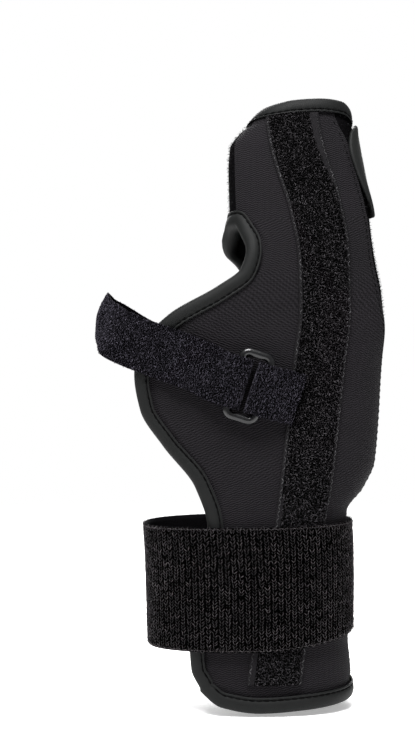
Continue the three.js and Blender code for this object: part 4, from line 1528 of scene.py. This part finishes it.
@dataclass
class WristStrap:
    """Wide knitted elastic strap, once round the wrist and lapped on the palm side."""

    form: HandForm
    cloth: Cloth
    rows: int = 380
    columns: int = 26
    tall: float = 43.0  # about its height
    thick: float = 1.3
    thin: float = 0.35  # how much each face falls at the edges
    thin_width: float = 1.2
    clear_sides: float = 0.8  # room under the strap beside the wrist, and over its two faces
    clear_faces: float = 2.0
    face_span: Pair = (0.15, 0.65)  # sines of the turn between which the sides become faces
    lap_start: float = 236.0
    lap_end: float = 282.0
    lap_thick: float = 2.15
    ramp: float = 26.0
    wale: float = 2.3
    course: float = 1.02
    knit_tall: float = 42.5
    knit_sunk: float = 0.12
    end_gap: float = 0.6
    start_most: float = 0.3  # unevenness of the stitches: start of a column, height, lean, place, size
    height_spread: float = 0.06
    lean_spread: float = 0.18
    place_spread: float = 0.08
    stitch_sizes: Pair = (0.85, 1.15)
    edge_in: float = 0.012
    edge_sunk: float = 0.25
    edging: Stitching = Stitching(1.1, 1.25, 24.0)
    edge_points: int = 900
    # Edges: angle, top, bottom.
    edges: tuple[Triple, ...] = (
        (0, 22.0, -20.5),
        (90, 22.2, -20.4),
        (180, 23.4, -14.6),
        (270, 22.8, -19.4),
        (360, 22.0, -20.5),
    )

    def under(self, turned_by: Array) -> Array:
        """Height of the strap's inner face off the form.

        Args:
            turned_by: Angles that run past a full turn.

        Returns:
            One height for each angle.
        """
        flat = smooth(np.abs(np.sin(turned_by * DEGREE)), *self.face_span)
        first = self.lap_start + FULL_TURN - self.ramp
        lap = smooth(turned_by, first, first + self.ramp) * self.lap_thick
        return mixed(self.clear_sides, self.clear_faces, flat) + lap

    def height(self, turned_by: Array, share: Array) -> Array:
        """Heights at shares up the strap."""
        angle = turned_by % FULL_TURN
        return mixed(Curve(self.edges, 2)(angle), Curve(self.edges, 1)(angle), share)

    def build(self) -> None:
        """Makes the strap's ground and its knitted face."""
        turn = np.linspace(self.lap_start, self.lap_end + FULL_TURN, self.rows)
        a, w = np.meshgrid(turn, np.linspace(0, 1, self.columns), indexing="ij")
        z = self.height(a, w)
        under = self.under(a)
        edge = self.thin * (1 - smooth(np.minimum(w, 1 - w) * self.tall, 0, self.thin_width))
        outer = self.form.raised(a, z, under + self.thick - edge)
        inner = self.form.raised(a, z, under + edge)
        along = run_lengths(outer[:, self.columns // 2])
        skin = shell(outer, inner, np.stack(np.broadcast_arrays(along[:, None], z), -1), inner_finish=1)
        strap = skin.piece("wrist_band", "elastic", [self.cloth.knit_ground_painted_shade, self.cloth.lining])
        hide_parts("wrist_strap")
        knit = self.knit(turn, along)
        faces = [k.piece(f"wrist_band_knit_{n}", "elastic", [self.cloth.knit]) for n, k in knit.items()]
        shown = np.linspace(self.lap_end, self.lap_end + FULL_TURN, self.edge_points)
        lift = self.under(shown) + self.thick - self.edge_sunk
        for place, up in (("low", self.edge_in), ("high", 1 - self.edge_in)):
            height = self.height(shown, np.array(up))
            row = self.edging.row(self.form, shown, height, lift)
            faces.append(row.piece(f"wrist_band_edge_{place}", "elastic", [self.cloth.knit]))
        tall = float((z[:, -1] - z[:, 0]).mean())

    def knit(self, turn: Array, along: Array) -> dict[str, Skin]:
        """Columns of knit stitches over the strap's outer face.

        Args:
            turn: Angles along the strap.
            along: Distances along its outer face.

        Returns:
            Meshes of the left and right legs of the stitches.
        """
        draw = np.random.default_rng(23)
        shown = np.interp(self.lap_end, turn, along)
        wales = np.arange(shown, along[-1] - self.end_gap, self.wale)
        courses = round(self.knit_tall / self.course)
        where = np.repeat(wales, courses)
        start = np.repeat(draw.uniform(-self.start_most, self.start_most, len(wales)), courses)
        step = (np.tile(np.arange(courses) + 0.5, len(wales)) + start) / courses
        angle = np.interp(where, along, turn)
        z = self.height(angle, step)
        lift = self.under(angle) + self.thick - self.knit_sunk + draw.normal(0, self.height_spread, len(z))
        upward = unit(self.form.tangents(angle, z)[1])
        outward = self.form.outward(angle, z)
        around = np.cross(upward, outward)
        lean = draw.normal(0, self.lean_spread, (len(z), 1))
        shift = draw.normal(0, self.place_spread, (2, len(z), 1))
        points = self.form.raised(angle, z, lift) + around * shift[0] + upward * shift[1]
        places = Places(points, unit(around + upward * lean), outward)
        sizes = draw.uniform(*self.stitch_sizes, len(z))
        return {"left": LEFT_LEG.scattered(places, sizes), "right": RIGHT_LEG.scattered(places, sizes)}


@dataclass
class HandStrap:
    """Brushed elastic strap from the palm to the ring on the back, the tab that ties it, and the ring."""

    form: HandForm
    cloth: Cloth
    width: float = 18.1
    columns: int = 25
    row_step: float = 0.8
    look: float = 0.4  # step to either side that gives a line's direction
    line_points: int = 700
    thick: float = 1.5
    ground: float = 1.15  # thickness under the nap
    loops: Pile = Pile(LOOP, 0.47, 0.35, (0.5, 1.0), 50.0)
    loops_sunk: float = 0.05
    ring_x: float = -0.4
    ring_z: float = 71.0
    ring_lean: float = 17.5
    window: Pair = (19.8, 7.2)
    bar: float = 3.0
    bar_power: float = 2.2  # squareness of the bar's section
    bar_sides: int = 16
    corner: float = 2.4
    corner_points: int = 9
    fold_reach: float = 3.85
    fold_points: int = 13
    fold_back: float = 18.0
    strap_straight: float = 5.0  # how far the webbing goes straight on from its bar
    tab_straight: float = 2.5
    rise_points: int = 160
    over_bar: Pair = (2.2, -0.2)  # where the strap comes over its bar: distance, height from the fold's top
    tab_end: Pair = (12.0, 67.6)
    tab_over: Pair = (16.8, 66.1)
    # Middle line beyond the ring: angle, z.
    middle: tuple[Pair, ...] = (
        (76, 78.0), (57, 84.3), (43, 88.7), (30, 92.8), (0, 97.6), (-30, 94.0), (-50, 87.2),
        (-66, 80.0), (-86, 73.2),
    )
    # Height of the strap's underside off the form: distance from the ring's bar, height.
    rise: tuple[Pair, ...] = (
        (5, 4.3), (9, 2.9), (19, 2.4), (24, 1.4), (32, 1.6), (43, 1.6), (55, -2.9), (90, -2.0),
        (101, 2.0), (112, 2.0), (118, 0.6), (129, 0.5),
    )

    @property
    def fold_radius(self) -> float:
        """Radius of the webbing's middle where it folds round a bar."""
        return self.bar / 2 + GAP + self.thick / 2

    @property
    def lower_lift(self) -> float:
        """Height of the webbing's middle where it lies on the panel."""
        return GAP + self.thick / 2

    @property
    def ring_lift(self) -> float:
        """Height of the ring's middle off the form."""
        return self.lower_lift + self.fold_radius

    def ring_axes(self) -> tuple[float, Array, Array]:
        """How the ring lies.

        Returns:
            Angle of the ring's middle, its direction from strap to tab, and its outward direction.
        """
        angle = float(self.form.angle_at(self.ring_x, self.ring_z))
        per_angle, per_height = self.form.tangents(angle, self.ring_z)
        outward = self.form.outward(angle, self.ring_z)
        level = unit(per_angle)
        upright = np.cross(outward, level)
        upright = upright if (upright * per_height).sum() > 0 else -upright
        lean = self.ring_lean * DEGREE
        return angle, level * math.cos(lean) - upright * math.sin(lean), outward

    def bar_place(self, side: int, beyond: float = 0.0) -> Pair:
        """Angle and height of the middle of a long bar, or of a spot beyond it.

        Args:
            side: -1 for the strap's bar and 1 for the tab's.
            beyond: Distance past the bar.

        Returns:
            The angle and the height.
        """
        angle, heading, _ = self.ring_axes()
        distance = side * ((self.window[1] + self.bar) / 2 + beyond)
        a, z = self.form.walked(np.array(angle), np.array(self.ring_z), heading, np.array(distance))
        return float(a), float(z)

    def fold(self) -> list[Pair]:
        """Half turn round a bar, from the upper to the lower layer.

        Returns:
            Distance and height of the webbing's middle at each point.
        """
        turn = np.linspace(math.pi / 2, -math.pi / 2, self.fold_points)
        reach, radius = self.fold_reach, self.fold_radius
        return [(-reach * math.cos(a), self.ring_lift + radius * math.sin(a)) for a in turn]

    def grid(self, line: list[Pair], route: list[Pair]) -> tuple[Array, Array, Array, Array]:
        """Faces of a ribbon over the form.

        Args:
            line: Angles and heights of the line on the form that the ribbon follows.
            route: Distance along that line and height off the form of the ribbon's middle.

        Returns:
            Outer face, inner face, distances along the ribbon and distances across it.
        """
        rows = [(i, *place) for i, place in enumerate(line)]
        at = np.linspace(0, len(line) - 1, self.line_points)
        angle, z = Curve(rows, 1)(at), Curve(rows, 2)(at)
        points = self.form.point(angle, z)
        travelled = run_lengths(points)
        path = np.array(route, float)
        run = run_lengths(path)
        path = read_line(path, run, np.linspace(0, run[-1], round(run[-1] / self.row_step)))
        for _ in range(2):
            path[1:-1] = path[1:-1] / 2 + (path[:-2] + path[2:]) / 4
        step = unit(np.gradient(path, axis=0))
        across = np.linspace(-self.width / 2, self.width / 2, self.columns)

        def face(offset: Array | float) -> Array:
            """One face of the ribbon.

            Args:
                offset: Its distance from the ribbon's middle.

            Returns:
                Grid of points.
            """
            distance = (path[:, 0] + offset * step[:, 1])[:, None] + 0 * across
            lift = (path[:, 1] - offset * step[:, 0])[:, None] + 0 * across
            inside = np.clip(distance, 0, travelled[-1])
            a, h = np.interp(inside, travelled, angle), np.interp(inside, travelled, z)
            ahead, behind = (np.clip(inside + by, 0, travelled[-1]) for by in (self.look, -self.look))
            heading = unit(read_line(points, travelled, ahead) - read_line(points, travelled, behind))
            a, h = self.form.walked(a, h, heading, distance - inside)
            sideways = np.cross(self.form.outward(a, h), heading)
            a, h = self.form.walked(a, h, sideways, np.broadcast_to(across, a.shape))
            return self.form.raised(a, h, lift)

        return face(self.ground - self.thick / 2), face(-self.thick / 2), run_lengths(path), across

    def webbing(
        self, name: str, node: str, grid: tuple[Array, Array, Array, Array]
    ) -> None:
        """Makes a ribbon and the nap on its outer face.

        Args:
            name: Name of the piece.
            node: The solid that it stands for.
            grid: Faces of the ribbon and the distances along and across it.
        """
        outer, inner, along, across = grid
        cloth = np.stack(np.broadcast_arrays(along[:, None], across[None, :]), -1)
        band = shell(outer, inner, cloth).piece(name, "nap_webbing", [self.cloth.strap_ground])
        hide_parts(node)
        nap = self.nap(outer, inner, along).piece(name + "_nap", "nap_webbing", [self.cloth.strap_nap])
        flat = (self.width * MM, float(along[-1]) * MM)

    def nap(self, outer: Array, inner: Array, along: Array) -> Skin:
        """Loops of nap over a ribbon's outer face.

        Args:
            outer: Grid of the outer face.
            inner: Grid of the inner face.
            along: Distances along the ribbon.

        Returns:
            Mesh of the nap.
        """
        draw = np.random.default_rng(29)
        rows, columns = (round(length / self.loops.pitch) for length in (along[-1], self.width))
        t, s = jittered(draw, rows, columns)
        r, c = t.ravel() * (len(outer) - 1.001), s.ravel() * (outer.shape[1] - 1.001)
        i, j = r.astype(int), c.astype(int)
        u, v = (r - i)[:, None], (c - j)[:, None]

        def read(grid: Array) -> Array:
            """Values of a grid at the drawn spots."""
            low = mixed(grid[i, j], grid[i, j + 1], v)
            return mixed(low, mixed(grid[i + 1, j], grid[i + 1, j + 1], v), u)

        points = read(outer)
        heading = unit(outer[i + 1, j] - outer[i, j])
        outward = levelled(unit(points - read(inner)), heading)
        places = Places(points - self.loops_sunk * outward, heading, outward)
        return self.loops.standing(places, draw)

    def build_ring(self) -> None:
        """Makes the rectangular ring with rounded bars."""
        angle, heading, outward = self.ring_axes()
        heading = levelled(heading, outward)
        across = np.cross(outward, heading)
        middle = self.form.raised(np.array(angle), np.array(self.ring_z), self.ring_lift)
        half = [(side + self.bar) / 2 for side in self.window]
        line, side_way = [], []
        for k, (sx, sy) in enumerate(((1, 1), (-1, 1), (-1, -1), (1, -1))):
            centre = np.array([sx * (half[0] - self.corner), sy * (half[1] - self.corner)])
            for a in np.linspace(k * math.pi / 2, (k + 1) * math.pi / 2, self.corner_points):
                out = np.array([math.cos(a), math.sin(a)])
                line.append(centre + self.corner * out)
                side_way.append(out)
        flat, out = np.array(line), np.array(side_way)
        turn = np.arange(self.bar_sides) * 2 * math.pi / self.bar_sides
        cosine, sine, power = np.cos(turn), np.sin(turn), self.bar_power
        radius = (np.abs(cosine) ** power + np.abs(sine) ** power) ** (-1 / power) * self.bar / 2
        plane = flat[:, None] + out[:, None] * (radius * cosine)[None, :, None]
        height = np.broadcast_to(radius * sine, plane.shape[:2])
        points = middle + plane[..., :1] * across + plane[..., 1:] * heading + height[..., None] * outward
        along = run_lengths(np.concatenate([flat, flat[:1]]))
        around = np.linspace(0, math.pi * self.bar, self.bar_sides + 1)
        ring = ring_skin(points, along, around).piece("ring_bars", "ring", [self.cloth.ring])
        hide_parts("strap_ring")

    def build(self) -> None:
        """Makes the strap, the tab and the ring."""
        strap_line = [self.bar_place(-1), self.bar_place(-1, self.strap_straight), *self.middle]
        lift = Curve(self.rise)
        distances = np.linspace(self.rise[-1][0], self.rise[0][0], self.rise_points)
        route = [(float(d), float(lift(d)) + self.thick / 2) for d in distances]
        top = self.ring_lift + self.fold_radius
        route += [(self.over_bar[0], top + self.over_bar[1]), *self.fold(), (self.fold_back, self.lower_lift)]
        strap = self.grid(strap_line, route)
        self.webbing("hand_band", "hand_strap", strap)
        ends = [(float(self.form.angle_at(*place)), place[1]) for place in (self.tab_end, self.tab_over)]
        tab_line = [self.bar_place(1), self.bar_place(1, self.tab_straight), *ends]
        length, whole = run_lengths(self.form.point(*np.array(tab_line).T))[-2:]
        upper = self.lower_lift + self.thick + GAP
        tab_route = [(whole, upper), (length, upper), (length / 2, (upper + top) / 2), *self.fold()]
        tab_route += [(length / 2, self.lower_lift), (length, self.lower_lift)]
        self.webbing("ring_loop", "ring_tab", self.grid(tab_line, tab_route))
        self.build_ring()


@dataclass
class Studio:
    """Camera, pale floor and soft light."""

    eye: Triple = (-0.01458, -0.6, 0.07668)
    aim: Triple = (0.0, 0.0, 0.07)
    lens: float = 81.08
    sensor: float = 36.0
    floor_size: float = 6.0
    floor_gap: float = 0.001
    sky: float = 0.3
    # Lamps: name, place, size, power.
    lamps: tuple[tuple[str, Triple, float, float], ...] = (
        ("key", (-0.12, -0.46, 0.95), 0.5, 22.0),
        ("fill", (0.9, -0.7, 0.25), 0.9, 0.4),
        ("top", (0.05, 0.2, 1.2), 0.7, 2.5),
        ("back", (-0.05, 0.95, 0.6), 0.8, 22.0),
    )

    def build(self) -> None:
        """Makes the studio."""
        scene = bpy.context.scene
        camera = bpy.data.objects.new("camera", bpy.data.cameras.new("camera"))
        camera.location = self.eye
        camera.rotation_euler = (math.pi / 2, 0, 0)
        camera.data.lens = self.lens
        camera.data.sensor_width = self.sensor
        scene.collection.objects.link(camera)
        scene.camera = camera
        scene.view_settings.view_transform = "Standard"
        scene.world = bpy.data.worlds.new("studio")
        self.paint_sky(Graph(scene.world))
        for name, place, size, power in self.lamps:
            lamp = bpy.data.objects.new(name, bpy.data.lights.new(name, "AREA"))
            lamp.data.size = size
            lamp.data.energy = power
            lamp.location = place
            aim = Vector(self.aim) - lamp.location
            lamp.rotation_euler = aim.to_track_quat("-Z", "Y").to_euler()
            scene.collection.objects.link(lamp)
        self.floor()

    def paint_sky(self, graph: Graph) -> None:
        """Makes a white backdrop whose light on the splint is dimmer than it looks.

        Args:
            graph: Nodes of the world.
        """
        seen = graph.node("ShaderNodeLightPath", {}, {}, "Is Camera Ray")
        strength = graph.node("ShaderNodeMapRange", {}, {"Value": seen, "To Min": self.sky})
        sockets = {"Color": (1, 1, 1, 1), "Strength": strength}
        graph.add("ShaderNodeOutputWorld", {}, {0: graph.node("ShaderNodeBackground", {}, sockets)})

    def floor(self) -> None:
        """Lays the floor just under the splint."""
        half = self.floor_size / 2
        level = CAD_BOX[0].z - self.floor_gap
        mesh = bpy.data.meshes.new("floor")
        corners = [(-half, -half, level), (half, -half, level), (half, half, level), (-half, half, level)]
        mesh.from_pydata(corners, [], [(0, 1, 2, 3)])
        mesh.materials.append(PaleFloor().material())
        floor = bpy.data.objects.new("floor", mesh)
        bpy.context.scene.collection.objects.link(floor)


def main() -> None:
    """Builds the studio and every piece of the splint."""
    logging.basicConfig(level=logging.INFO, format="%(message)s")
    outline = Outline()
    cloth = Cloth()
    Studio().build()
    Gauntlet(outline, cloth).build()
    Bindings(outline, cloth).build()
    PileStrip(outline, cloth).build()
    FingerTab(outline, cloth).build()
    WristStrap(outline.form, cloth).build()
    HandStrap(outline.form, cloth).build()


if __name__ == "__main__":
    main()
